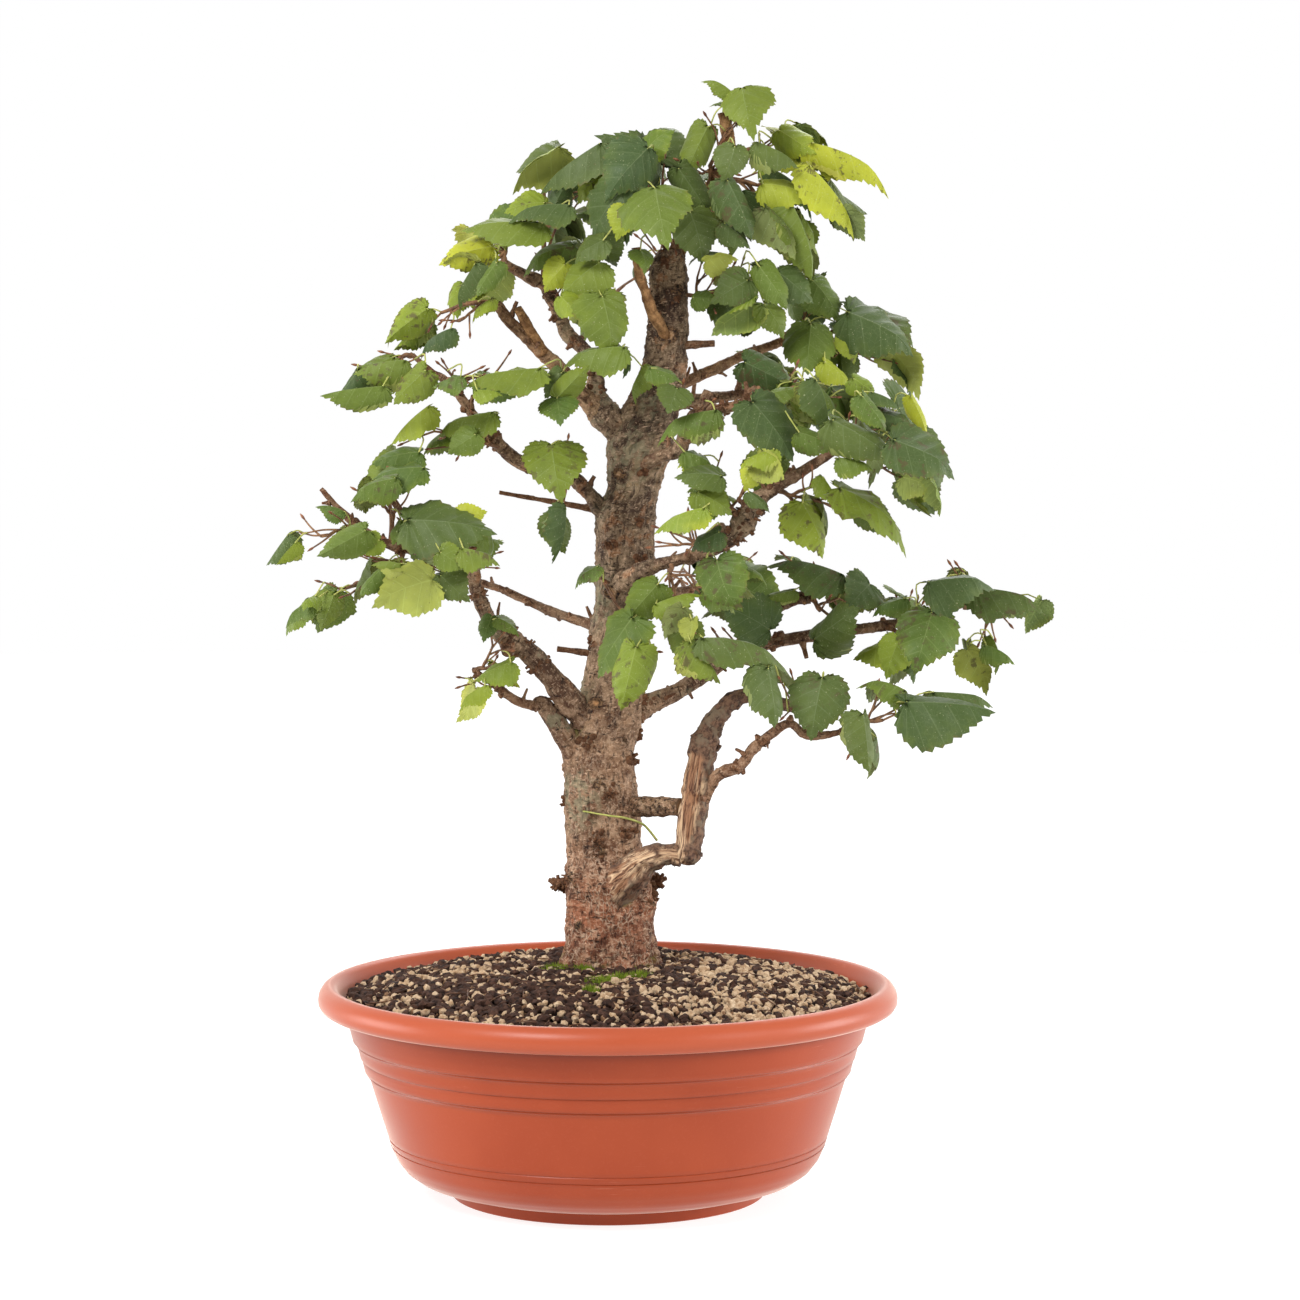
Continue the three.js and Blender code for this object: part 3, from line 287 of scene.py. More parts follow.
SEED_STEP = 131  # between the seeds of one shoot and the next
TWIG_NODES = [0.98, 0.8, 0.62]  # where leaves may grow along a twig
SPRIGS = 3  # finer twigs that each shoot's twig carries
SPRIG_NODES = [1.0, 0.72, 0.45]
SPRIG_SPACING = 0.22  # between forks, from the twig's tip, as a share of its length
SPRIG_TRIES = 12
SPRIG_LEANS = [20, 65]  # degrees
SPRIG_LENGTHS = [0.4, 0.8]  # as shares of the shoot's reach
SPRIG_BOWS = [-0.09, 0.09]
SPRIG_LIFT = 0.18
SPRIG_CLEARANCE = 1.0
LEAVES_MORE = 1.9  # leaves here for each leaf of the solids
LEAF_LENGTHS = [27, 66]
LEAF_SIZES = [0.95, 1.7]  # as a share of the shoot's reach
LEAF_TRIES = 60
LEAF_SHRINK = 0.986  # each try is this much smaller than the last
LEAF_APART = 5.0  # the least distance between two leaves' touch points
NEAR_LEAVES = 1.6  # how far round a leaf others are looked for, in lengths of the leaf
LEAF_STRAYS = 40  # degrees
STRAYS_TWICE = 12  # the number of tries after which a leaf strays twice as far
LEAF_RISES = [-45, 40]
LEAF_SPREAD = [0, 0.62]  # how far from its shoot's centre a leaf lies, as a share of the reach
NODE_AWAY = 0.75  # a leaf likes a node this share of its length away
NODE_CHOICES = 3
BLADE_MIDDLE = 0.42  # the share of the length at which a blade's middle lies
NEAREST_BASE = 0.85  # the share of the way from the node that a leaf may fill
BENDS = [0.05, 0.85]  # shares of the most that a leaf can bend away from its stalk
HINGE_TURNS = [-70, 70]
ROLLS = [42, 30]  # the most a leaf rolls, in degrees, with no bend and with a bend of one radian
SUNNY_SIDE = np.array([0, -0.45, 0.85])  # the upper sides turn this way and outwards
STALK_LENGTHS = [6, 42]
STALK_RADIUS = [0.624, 0.52]
STALK_LIFT = 0.12  # how far a stalk bows upwards, as a share of its length
STALK_LAG = 0.1  # how far it bows away from its blade
STALK_LAP = 0.8  # how far it reaches under its blade
TWIG_WANDER = [-0.6, 0.6]
TWIG_SEED = 4100
BUD_PLACES = [-1, 2.6, 4.6]  # from the tip of its twig
BUD_RADIUS = [0.5, 1.1, 0.25]

# One half of a leaf's outline, [along, across] shares of its length, from the notch to the tip.
LEAF_HALF = [
    [-0.05, 0.05], [-0.105, 0.14], [-0.115, 0.26], [-0.05, 0.375], [0.08, 0.46], [0.24, 0.495], [0.4, 0.475],
    [0.55, 0.41], [0.68, 0.315], [0.79, 0.205], [0.875, 0.1], [1.0, 0.003],
]
LEAF_ROWS = 32  # along each half of the outline; every fourth is a side vein
VEIN_ROWS = 4
LEAF_COLUMNS = 4  # from the midrib to the margin
VEIN_LAG = 0.62  # how far behind the margin a side vein leaves the midrib
TEETH = 0.024
LOBES = 0.012  # how far the margin swells at a side vein's end
QUILT = 0.01  # how far the blade puckers between side veins
LEAF_THICKNESS = 0.006
OFF_MIDRIB = 1e-6  # so that a half's midrib folds with its half

LEAF_BREADTH = 1.0  # a flat blade's breadth as a share of its length
HALF_BREADTH = 0.46
TIP_BEGINS = 0.6  # the share of the length from which the tip hangs more
LEAST_DROOP = 0.01
FOLDS = [-32, 10]  # degrees that each half of a blade is raised
TENT_FOLDS = [-62, -36]
TENTS = 0.17  # the share of leaves that are folded into a tent
# What else shapes a blade: the least, the most and their unit. The tip's is how fast it hangs.
BLADE_SHAPE = {
    "curl": [-48, 4, DEGREE], "droop": [0, 52, DEGREE], "tip": [0, 4.5, 1], "twist": [-22, 22, DEGREE],
    "wave": [0.018, 0.06, 1], "waves": [7, 13, 1], "phase": [0, TURN, 1], "wide": [0.98, 1.16, 1],
    "shade": [0, 1, 1], "uneven": [-0.13, 0.13, 1],
}

# Leaves that the photograph shows plainly.
SPOTS = 7  # places on each twig that they may hang from
SPOT_SHARES = [0.35, 1]
STALK_PIXELS = 16  # how far from its spot a leaf likes to show
FRONT_FIRST = 0.12  # how much spots nearer to the camera are preferred
MOST_FORWARD = 16  # how far before its spot a leaf's notch may lie at first
SHOWN_APART = 3.5
SHOWN_CLEARANCE = 1.0
SHOWN_TILTS = [-80, 81, 10]  # tilts that are tried: the first, one past the last, and the step
SHOWN_SIDE = 0.1  # leaves of the rule that lie further forward than this share of the reach are left out
SKY_PIXELS = 12  # how far from the leaves of the photograph a leaf of the rule may show
WOOD_PIXELS = 4.0  # how near to a limb, seen from the front, a leaf of the rule may come before it
TWIG_PIXELS = 20
WIDE_SHARES = [1.04, 0.85, 0.7]
UPWARDS_FIRST = 4  # pixels of width given up for an upper side that faces up
NARROW_COST = 8
PUSHES = 10
PUSH = 4  # how far each push brings a leaf forward
SHORTEST_SHOWN = 18
LONGEST_SHOWN = 1.6  # as a share of the length that shows
OVERLAP_PIXELS = 9

# Leaves that the photograph shows plainly: pixel places of notch and tip, pixels across, fold in degrees
# and tint. Where leaves overlap, the one behind comes first.
SHOWN_LEAVES = [
    [645, 150, 672, 128, 26, -10, "fresh"], [605, 172, 576, 200, 30, -10, "fresh"],
    [560, 147, 509, 182, 32, -35, "fresh_under"], [600, 143, 538, 190, 26, -55, "deep"],
    [628, 183, 588, 236, 50, -15, "deep"], [648, 148, 606, 190, 64, -15, "deep"],
    [708, 126, 686, 170, 54, -12, "green"], [628, 208, 618, 238, 32, -10, "lime"],
    [678, 168, 712, 215, 36, -20, "deep"], [690, 212, 703, 262, 44, -10, "deep"],
    [655, 188, 664, 238, 76, -8, "green"], [545, 203, 505, 212, 26, -10, "fresh"],
    [570, 205, 508, 215, 24, -35, "deep"], [574, 246, 524, 262, 32, -15, "green"],
    [543, 224, 462, 229, 30, -25, "green"], [565, 264, 543, 290, 30, -10, "lime"],
    [600, 262, 562, 298, 36, -20, "green"], [604, 240, 572, 258, 24, -20, "deep"],
    [640, 250, 648, 270, 20, -10, "green"], [732, 92, 705, 78, 18, -50, "green"],
    [742, 88, 750, 130, 54, -15, "green"], [765, 155, 756, 178, 22, -20, "fresh"],
    [779, 130, 812, 152, 48, -10, "lime"], [812, 143, 891, 181, 26, -50, "lime"],
    [758, 142, 800, 164, 24, -30, "deep"], [735, 146, 726, 182, 36, -15, "deep"],
    [762, 184, 812, 196, 30, -12, "lime"], [810, 166, 858, 233, 24, -45, "lime"],
    [842, 212, 866, 240, 26, -10, "deep_under"], [727, 180, 750, 238, 40, -15, "deep"],
    [765, 208, 794, 256, 34, -10, "deep_under"], [793, 206, 812, 277, 34, -25, "green"],
    [724, 223, 752, 246, 22, -30, "deep"], [705, 262, 736, 255, 18, -10, "fresh_under"],
    [492, 246, 440, 259, 34, -20, "lime"], [478, 262, 444, 262, 16, -10, "fresh_under"],
    [475, 264, 452, 304, 24, -45, "deep"], [497, 262, 477, 296, 28, -15, "green"],
    [428, 308, 386, 338, 32, -30, "fresh"], [452, 328, 418, 350, 26, -50, "deep"],
    [405, 360, 353, 370, 30, -45, "green"], [384, 386, 320, 394, 22, -45, "green"],
    [426, 370, 392, 402, 30, -12, "green"], [462, 376, 432, 386, 16, -30, "green"],
    [540, 368, 464, 378, 26, -25, "green"], [476, 390, 503, 393, 12, -20, "fresh"],
    [428, 406, 390, 444, 24, -35, "fresh"], [492, 412, 434, 430, 24, -20, "green"],
    [476, 434, 448, 454, 28, -5, "green"], [420, 452, 372, 464, 30, -20, "green"],
    [424, 468, 370, 480, 26, -25, "green"], [492, 298, 470, 318, 13, -20, "fresh"],
    [602, 296, 612, 355, 46, -12, "green"], [560, 296, 580, 316, 34, -10, "fresh"],
    [624, 347, 566, 362, 30, -20, "green"], [562, 372, 544, 398, 30, -15, "deep"],
    [557, 398, 588, 366, 34, -25, "green"], [557, 398, 561, 423, 40, 0, "green"],
    [551, 444, 556, 496, 62, -6, "green"], [566, 508, 554, 564, 20, -20, "deep"],
    [598, 566, 573, 583, 16, -20, "green"], [643, 366, 628, 400, 14, -30, "green"],
    [650, 368, 680, 380, 16, -20, "green"], [677, 388, 668, 414, 36, 0, "deep"],
    [716, 410, 656, 428, 26, -25, "green"], [692, 298, 716, 300, 26, -20, "green"],
    [748, 280, 714, 302, 38, -10, "deep"], [756, 302, 712, 334, 34, -15, "fresh_under"],
    [764, 304, 784, 336, 28, -10, "green"], [778, 272, 810, 304, 34, -15, "deep"],
    [759, 266, 788, 304, 50, -10, "green"], [812, 280, 840, 320, 32, -10, "green"],
    [845, 335, 856, 362, 22, -10, "fresh"], [811, 324, 806, 372, 62, -10, "green"],
    [888, 348, 921, 394, 36, 0, "fresh_under"], [848, 312, 917, 345, 50, -20, "deep"],
    [824, 362, 852, 384, 20, -10, "lime"], [853, 378, 876, 396, 20, -10, "fresh"],
    [744, 362, 792, 386, 40, -12, "deep"], [768, 394, 802, 390, 16, -10, "green"],
    [806, 384, 812, 416, 22, 0, "fresh_under"], [816, 380, 826, 434, 20, -45, "deep"],
    [798, 432, 836, 447, 24, -10, "green"], [752, 402, 794, 460, 46, -10, "deep"],
    [872, 392, 902, 408, 14, -30, "deep"], [862, 396, 886, 430, 28, -10, "green"],
    [878, 412, 915, 424, 24, -15, "deep"], [911, 396, 926, 434, 16, -45, "lime"],
    [832, 420, 890, 460, 48, -12, "deep"], [894, 440, 958, 470, 48, -18, "deep"],
    [775, 449, 738, 464, 16, -30, "fresh"], [757, 464, 744, 490, 28, 0, "lime"],
    [757, 462, 786, 478, 36, 0, "fresh_under"], [700, 456, 676, 465, 13, -10, "lime"],
    [684, 452, 715, 466, 18, -20, "green"], [722, 476, 675, 477, 22, -20, "deep"],
    [697, 492, 732, 514, 32, -10, "green"], [704, 508, 654, 532, 20, -35, "lime"],
    [748, 492, 767, 508, 14, -20, "deep"], [720, 532, 690, 548, 22, -10, "deep"],
    [838, 458, 874, 466, 18, -20, "green"], [822, 476, 838, 505, 20, -20, "fresh"],
    [903, 477, 936, 492, 26, 0, "fresh_under"], [934, 480, 943, 515, 13, -40, "fresh_under"],
    [840, 488, 911, 545, 38, -15, "green"], [802, 502, 827, 556, 36, -15, "fresh"],
    [842, 574, 768, 559, 28, -25, "deep"], [795, 590, 765, 600, 20, -20, "green"],
    [870, 584, 846, 608, 44, 0, "deep"], [742, 592, 771, 638, 18, -40, "green"],
    [770, 630, 722, 602, 48, -12, "deep"], [717, 560, 735, 612, 46, -10, "green"],
    [814, 640, 858, 610, 64, 0, "deep"], [658, 584, 626, 624, 38, -20, "green"],
    [655, 604, 700, 590, 22, -35, "fresh"], [682, 608, 662, 635, 24, 0, "deep_under"],
    [692, 620, 690, 644, 18, -10, "fresh_under"], [690, 642, 722, 683, 30, -25, "green"],
    [702, 638, 787, 663, 30, -25, "deep"], [632, 618, 594, 676, 42, -12, "green"],
    [636, 647, 622, 710, 52, -10, "fresh"], [768, 668, 776, 722, 60, -10, "deep"],
    [822, 678, 812, 738, 62, -10, "deep"], [863, 714, 866, 773, 40, -15, "deep"],
    [905, 690, 860, 680, 20, -30, "green"], [906, 702, 996, 708, 44, -18, "deep"],
    [905, 598, 872, 610, 18, -20, "green"], [896, 640, 852, 658, 26, -10, "lime"],
    [900, 638, 882, 678, 34, -35, "fresh"], [967, 650, 990, 688, 32, 0, "fresh_under"],
    [985, 645, 1016, 662, 20, -25, "green"], [932, 612, 917, 668, 66, -8, "green"],
    [942, 586, 962, 601, 24, 0, "deep"], [928, 582, 992, 579, 34, -20, "deep"],
    [1042, 600, 1024, 632, 22, -20, "green_under"], [974, 588, 1046, 602, 28, -40, "deep"],
    [296, 542, 277, 566, 13, -60, "fresh"], [345, 512, 316, 506, 18, -40, "green"],
    [352, 535, 346, 555, 22, -10, "fresh"], [380, 540, 356, 552, 24, -10, "fresh"],
    [372, 480, 362, 504, 22, -10, "fresh_under"], [396, 478, 350, 492, 26, -35, "green"],
    [366, 530, 319, 558, 32, -35, "green"], [460, 522, 486, 510, 28, 0, "lime"],
    [402, 520, 395, 545, 18, -10, "green"], [408, 520, 497, 530, 46, -15, "deep"],
    [462, 548, 500, 560, 18, -30, "green"], [440, 575, 466, 602, 34, -10, "deep"],
    [432, 580, 374, 604, 50, 0, "fresh_under"], [440, 552, 465, 568, 26, -10, "green"],
    [402, 564, 372, 562, 15, -50, "green"], [384, 566, 358, 595, 28, -20, "green"],
    [334, 594, 322, 629, 28, -20, "green"], [316, 600, 284, 622, 14, -50, "green"],
    [316, 596, 302, 606, 13, -10, "fresh"], [492, 616, 484, 640, 24, -5, "green"],
    [498, 618, 520, 634, 16, -20, "green"], [512, 662, 474, 679, 24, -15, "fresh"],
    [486, 685, 458, 706, 18, -40, "fresh"],
]

# Leaf colours, sRGB: upper side and underside.
TINTS = {
    "deep": [[75, 91, 43], [112, 125, 76]],
    "green": [[94, 111, 40], [130, 141, 76]],
    "fresh": [[117, 133, 41], [138, 149, 74]],
    "lime": [[146, 156, 47], [162, 167, 79]],
}
TINT_MIXES = {
    "deep": ["deep", "deep", "deep", "deep", "green"],
    "green": ["green", "green", "deep", "fresh", "green"],
    "fresh": ["fresh", "green", "green", "lime", "fresh"],
    "lime": ["lime", "lime", "fresh", "lime", "green"],
}

# Foliage masses: host, place along it, seed, tint, and shoots of [length, heading, rise, reach, leaves].
MASSES = {
    "leaves_top": ["bough_top", 0.5, 19, "deep", [
        [36, 257, 55, 30, 3], [32, 311, 26, 26, 2], [34, 305, -27, 34, 3], [33, 244, 4, 30, 2],
        [37, 31, -59, 23, 1], [65, 322, 67, 35, 2],
    ]],
    "leaves_top_right": ["bough_top", 0.67, 90, "lime", [
        [55, 13, 17, 36, 3], [88, 9, 4, 39, 2], [40, 324, 7, 26, 2],
    ]],
    "leaves_top_right_low": ["bough_top", 0.52, 119, "green", [
        [54, 350, -4, 32, 3], [91, 3, -7, 37, 2], [74, 2, -32, 34, 2], [57, 30, -27, 28, 2],
    ]],
    "leaves_crown": ["trunk", 648, 101, "deep", [
        [74, 195, 71, 36, 3], [87, 96, 70, 28, 2], [53, 259, 29, 38, 3], [30, 320, 22, 26, 1],
        [66, 210, 39, 32, 3], [51, 233, 5, 26, 2],
    ]],
    "leaves_upper_left": ["bough_fork_left", 0.82, 31, "deep", [
        [92, 90, 85, 35, 2], [89, 36, 70, 29, 3], [57, 302, 76, 29, 2], [95, 84, 30, 36, 3],
    ]],
    "leaves_left_shoulder": ["bough_fork_left", 1, 68, "fresh", [
        [31, 16, 76, 34, 3], [26, 187, 37, 34, 3], [33, 217, -28, 28, 2], [22, 122, -43, 26, 2],
    ]],
    "leaves_left_inner": ["bough_fork_left", 0.73, 28, "green", [
        [34, 291, 64, 31, 3], [40, 300, 12, 30, 3], [59, 311, -9, 34, 3],
    ]],
    "leaves_fork": ["bough_fork_left", 0.36, 77, "green", [
        [51, 246, -9, 31, 4], [31, 283, 32, 28, 2],
    ]],
    "leaves_left_high": ["bough_crown_left", 1, 15, "fresh", [
        [63, 187, -10, 32, 2], [48, 206, -29, 24, 1],
    ]],
    "leaves_left_point": ["bough_middle_left", 1, 59, "green", [
        [29, 219, -15, 30, 2], [53, 209, -25, 31, 2], [36, 265, -39, 27, 2],
    ]],
    "leaves_left_upper": ["bough_middle_left", 0.82, 84, "green", [
        [36, 332, -4, 29, 3], [14, 290, 20, 27, 2], [59, 338, 6, 29, 3],
    ]],
    "leaves_left_middle": ["bough_middle_left", 0.5, 88, "fresh", [
        [45, 214, 20, 37, 3], [81, 210, 14, 30, 2], [60, 209, 5, 27, 2],
    ]],
    "leaves_left_hanging": ["bough_middle_left", 0.27, 33, "deep", [
        [55, 252, 12, 36, 1], [48, 254, -48, 29, 1],
    ]],
    "leaves_left_outer": ["bough_far_left", 0.5, 35, "green", [
        [59, 116, 83, 30, 3], [45, 332, 80, 30, 2], [38, 215, 66, 28, 2],
    ]],
    "leaves_far_left_top": ["bough_far_left", 0.28, 78, "deep", [
        [33, 265, 25, 36, 3], [39, 316, 23, 36, 3], [26, 336, -14, 28, 2],
    ]],
    "leaves_far_left": ["bough_far_left", 0.72, 98, "green", [
        [23, 244, -14, 35, 3], [47, 199, -18, 28, 1], [22, 300, -40, 28, 2],
    ]],
    "leaves_low_left": ["bough_far_left", 0.42, 11, "green", [
        [33, 241, -67, 39, 2], [29, 195, -32, 30, 2], [67, 187, -38, 30, 2], [83, 181, -30, 26, 2],
    ]],
    "leaves_back_left": ["bough_thin_left", 1, 109, "green", [
        [16, 135, -41, 35, 3], [31, 138, 24, 34, 3], [39, 59, 44, 30, 2], [78, 82, 14, 36, 3],
    ]],
    "leaves_stub_left": ["bough_lowest_left", 1, 115, "lime", [
        [18, 328, 9, 29, 3], [24, 261, -57, 27, 2], [56, 295, 33, 27, 2],
    ]],
    "leaves_trunk_front": ["trunk", 420, 21, "fresh", [
        [85, 282, -43, 34, 1], [65, 266, -30, 30, 2], [66, 284, -15, 27, 2], [49, 249, 11, 24, 1],
    ]],
    "leaves_middle_low": ["bough_middle_right", 0.3, 78, "green", [
        [28, 251, -58, 31, 3], [55, 332, -81, 24, 1], [44, 333, -15, 34, 2],
    ]],
    "leaves_middle": ["bough_middle_right", 0.42, 81, "green", [
        [29, 185, 45, 29, 2], [39, 190, 7, 27, 2], [24, 275, 24, 23, 1],
    ]],
    "leaves_middle_high": ["bough_middle_right", 0.6, 2, "fresh", [
        [32, 208, 43, 32, 3], [52, 182, 57, 27, 2], [41, 16, 69, 30, 3],
    ]],
    "leaves_neck": ["bough_short_right", 0.6, 82, "deep", [
        [25, 239, -12, 32, 2], [31, 213, 16, 23, 1], [24, 297, -6, 17, 1],
    ]],
    "leaves_leader_right": ["trunk", 618, 117, "deep", [
        [50, 341, 5, 37, 4], [76, 355, 14, 31, 3], [37, 11, 55, 26, 2], [54, 330, -18, 30, 2],
    ]],
    "leaves_upper_right": ["bough_upper_right", 1, 40, "deep", [
        [30, 299, -11, 41, 3], [38, 324, 61, 35, 3], [65, 346, 8, 41, 2], [86, 345, -14, 30, 1],
        [58, 316, -26, 28, 2],
    ]],
    "leaves_right_inner": ["bough_short_right", 1, 84, "green", [
        [33, 305, -57, 36, 2], [36, 0, -9, 34, 3], [35, 65, -19, 29, 2],
    ]],
    "leaves_right": ["bough_middle_right", 1, 91, "deep", [
        [21, 325, 13, 39, 2], [61, 344, -5, 41, 1], [48, 28, 36, 35, 4], [66, 18, -25, 30, 2],
    ]],
    "leaves_right_under": ["bough_middle_right", 0.8, 36, "deep", [
        [36, 30, -34, 30, 2], [71, 0, -16, 38, 2], [47, 341, 12, 27, 2],
    ]],
    "leaves_low_right_inner": ["bough_low_right", 0.38, 49, "deep", [
        [31, 275, 46, 37, 3], [46, 232, 4, 30, 3], [40, 308, 0, 29, 2],
    ]],
    "leaves_low_right_fork": ["bough_low_right_fork", 1, 40, "deep", [
        [36, 300, -34, 41, 2], [28, 222, 72, 37, 1], [41, 20, 7, 36, 2],
    ]],
    "leaves_low_right": ["bough_low_right", 0.73, 15, "deep", [
        [39, 304, 4, 42, 2], [25, 273, -61, 31, 2], [29, 71, 33, 28, 2],
    ]],
    "leaves_low_right_tip": ["bough_low_right", 1, 12, "green", [
        [21, 327, -7, 36, 1], [28, 194, 24, 37, 2], [42, 317, -78, 35, 2],
    ]],
    "leaves_base_right": ["deadwood_upright", 1, 120, "deep", [
        [39, 290, 26, 39, 3], [48, 219, 23, 36, 2],
    ]],
    "leaves_base_right_low": ["bough_low_thin", 1, 68, "deep", [
        [60, 358, 16, 49, 1], [18, 335, -19, 32, 1], [41, 34, 38, 29, 1],
    ]],
    "leaves_back_low": ["bough_back_low", 1, 88, "green", [
        [50, 70, 5, 37, 3], [46, 20, -2, 37, 3], [75, 100, 16, 35, 2], [98, 60, 8, 38, 3],
    ]],
    "leaves_back_right": ["bough_back_right", 1, 44, "deep", [
        [45, 60, 0, 38, 3], [78, 90, 14, 35, 3], [40, 350, -20, 30, 2], [100, 50, -4, 38, 3],
    ]],
    "leaves_back_top": ["trunk", 640, 100, "green", [
        [95, 70, 38, 37, 3], [102, 96, 5, 36, 3], [112, 122, -14, 36, 2], [140, 85, 22, 36, 2],
    ]],
}

# ------------------------------------------------------------------ helpers


def linear(colour):
    """An sRGB colour of three bytes as Blender's linear values."""
    shares = [c / 255 for c in colour]
    return [s / 12.92 if s <= 0.04045 else ((s + 0.055) / 1.055) ** 2.4 for s in shares] + [1.0]


def toned(colour, shares, more=0):
    """A colour with its bytes multiplied by one share or by three, and raised by `more`."""
    return [min(255, round(float(byte))) for byte in np.multiply(colour, shares) + more]


def aim(heading, rise):
    """The unit vector of a heading and a rise."""
    turn, lift = math.radians(heading), math.radians(rise)
    return np.array([math.cos(lift) * math.cos(turn), math.cos(lift) * math.sin(turn), math.sin(lift)])


def round_z(radius, angle):
    """The x and y of a place at a radius and an angle round the Z axis."""
    return np.array([radius * math.cos(angle), radius * math.sin(angle)])


def seeded(seed):
    """A repeatable source of numbers: each call gives one between low and high."""
    state = seed * 7919 % 2147483647

    def between(low, high):
        nonlocal state
        state = state * 48271 % 2147483647
        return low + (high - low) * state / 2147483647

    return between


def unit(vector):
    return vector / np.linalg.norm(vector)


def turned(vector, axis, angle):
    """A vector turned about a unit axis by an angle in radians."""
    cosine, sine = math.cos(angle), math.sin(angle)
    return vector * cosine + np.cross(axis, vector) * sine + axis * (axis @ vector) * (1 - cosine)


def lattice(cells):
    """A repeatable value from 0 to 1 for each cell of a grid."""
    mixed = cells[..., 0] * 73856093 ^ cells[..., 1] * 19349663 ^ cells[..., 2] * 83492791
    mixed = (mixed ^ (mixed >> 13)) * 1274126177 & 0x7FFFFFFF
    return ((mixed ^ (mixed >> 16)) & 0xFFFF) / 65535


def noise(points, size, seed=0):
    """Smooth noise from -1 to 1 with lumps of about `size`."""
    places = np.asarray(points, float) / size + seed * 17.31
    cell = np.floor(places).astype(np.int64)
    share = places - cell
    share = share * share * (3 - 2 * share)
    total = 0
    for x in (0, 1):
        for y in (0, 1):
            for z in (0, 1):
                weight = (
                    (share[..., 0] if x else 1 - share[..., 0])
                    * (share[..., 1] if y else 1 - share[..., 1])
                    * (share[..., 2] if z else 1 - share[..., 2])
                )
                total = total + weight * lattice(cell + np.array([x, y, z]))
    return total * 2 - 1


def along(points, share):
    """Points at shares of the way along a smooth curve through `points`, or a line through two."""
    points = np.asarray(points, float)
    share = np.clip(np.asarray(share, float), 0, 1)
    last = len(points) - 1
    if last == 1:
        return points[0] + (points[1] - points[0]) * share[..., None]
    padded = np.vstack([2 * points[0] - points[1], points, 2 * points[-1] - points[-2]])
    leg = np.minimum((share * last).astype(int), last - 1)
    step = (share * last - leg)[..., None]
    before, start, end, after = (padded[leg + k] for k in range(4))
    leave, arrive = (end - before) / 2, (after - start) / 2
    square = -3 * start + 3 * end - 2 * leave - arrive
    cube = 2 * start - 2 * end + leave + arrive
    return start + step * (leave + step * (square + step * cube))


def spread(values, share):
    """The value at `share` of the way along a list of evenly spaced values."""
    return np.interp(share, np.linspace(0, 1, len(values)), values)


def spaced(points, count):
    """Evenly spaced points along a curve, its ends among them."""
    fine = along(points, np.linspace(0, 1, 12 * len(points) + 12))
    run = np.concatenate([[0], np.cumsum(np.linalg.norm(np.diff(fine, axis=0), axis=1))])
    places = np.linspace(0, run[-1], count)
    return np.stack([np.interp(places, run, fine[:, k]) for k in range(3)], axis=1)


def gaps_between(points, others):
    """The distance of each point from each of the others."""
    return np.linalg.norm(np.atleast_2d(points)[:, None] - others[None], axis=2)


def length_of(points):
    path = along(points, np.linspace(0, 1, 12 * len(points)))
    return np.linalg.norm(np.diff(path, axis=0), axis=1).sum()


def behind_pixel(x, y, depth):
    """The point of the picture's pixel at a depth along the room's Y."""
    pitch = math.radians(PITCH)
    right, up = (x - IMAGE / 2) / FOCAL, (IMAGE / 2 - y) / FOCAL
    ray = np.array([right, math.cos(pitch) + up * math.sin(pitch), -math.sin(pitch) + up * math.cos(pitch)])
    return EYE + ray * (depth - EYE[1]) / ray[1]


def pixel_of(points):
    """The picture's pixel places of points."""
    away = np.asarray(points, float) - EYE
    pitch = math.radians(PITCH)
    depth = away[..., 1] * math.cos(pitch) - away[..., 2] * math.sin(pitch)
    up = away[..., 1] * math.sin(pitch) + away[..., 2] * math.cos(pitch)
    return np.stack([IMAGE / 2 + FOCAL * away[..., 0] / depth, IMAGE / 2 - FOCAL * up / depth], axis=-1)


def linked(name, data):
    """An object of the scene that shows a mesh, a light or a camera."""
    made = bpy.data.objects.new(name, data)
    bpy.context.scene.collection.objects.link(made)
    return made


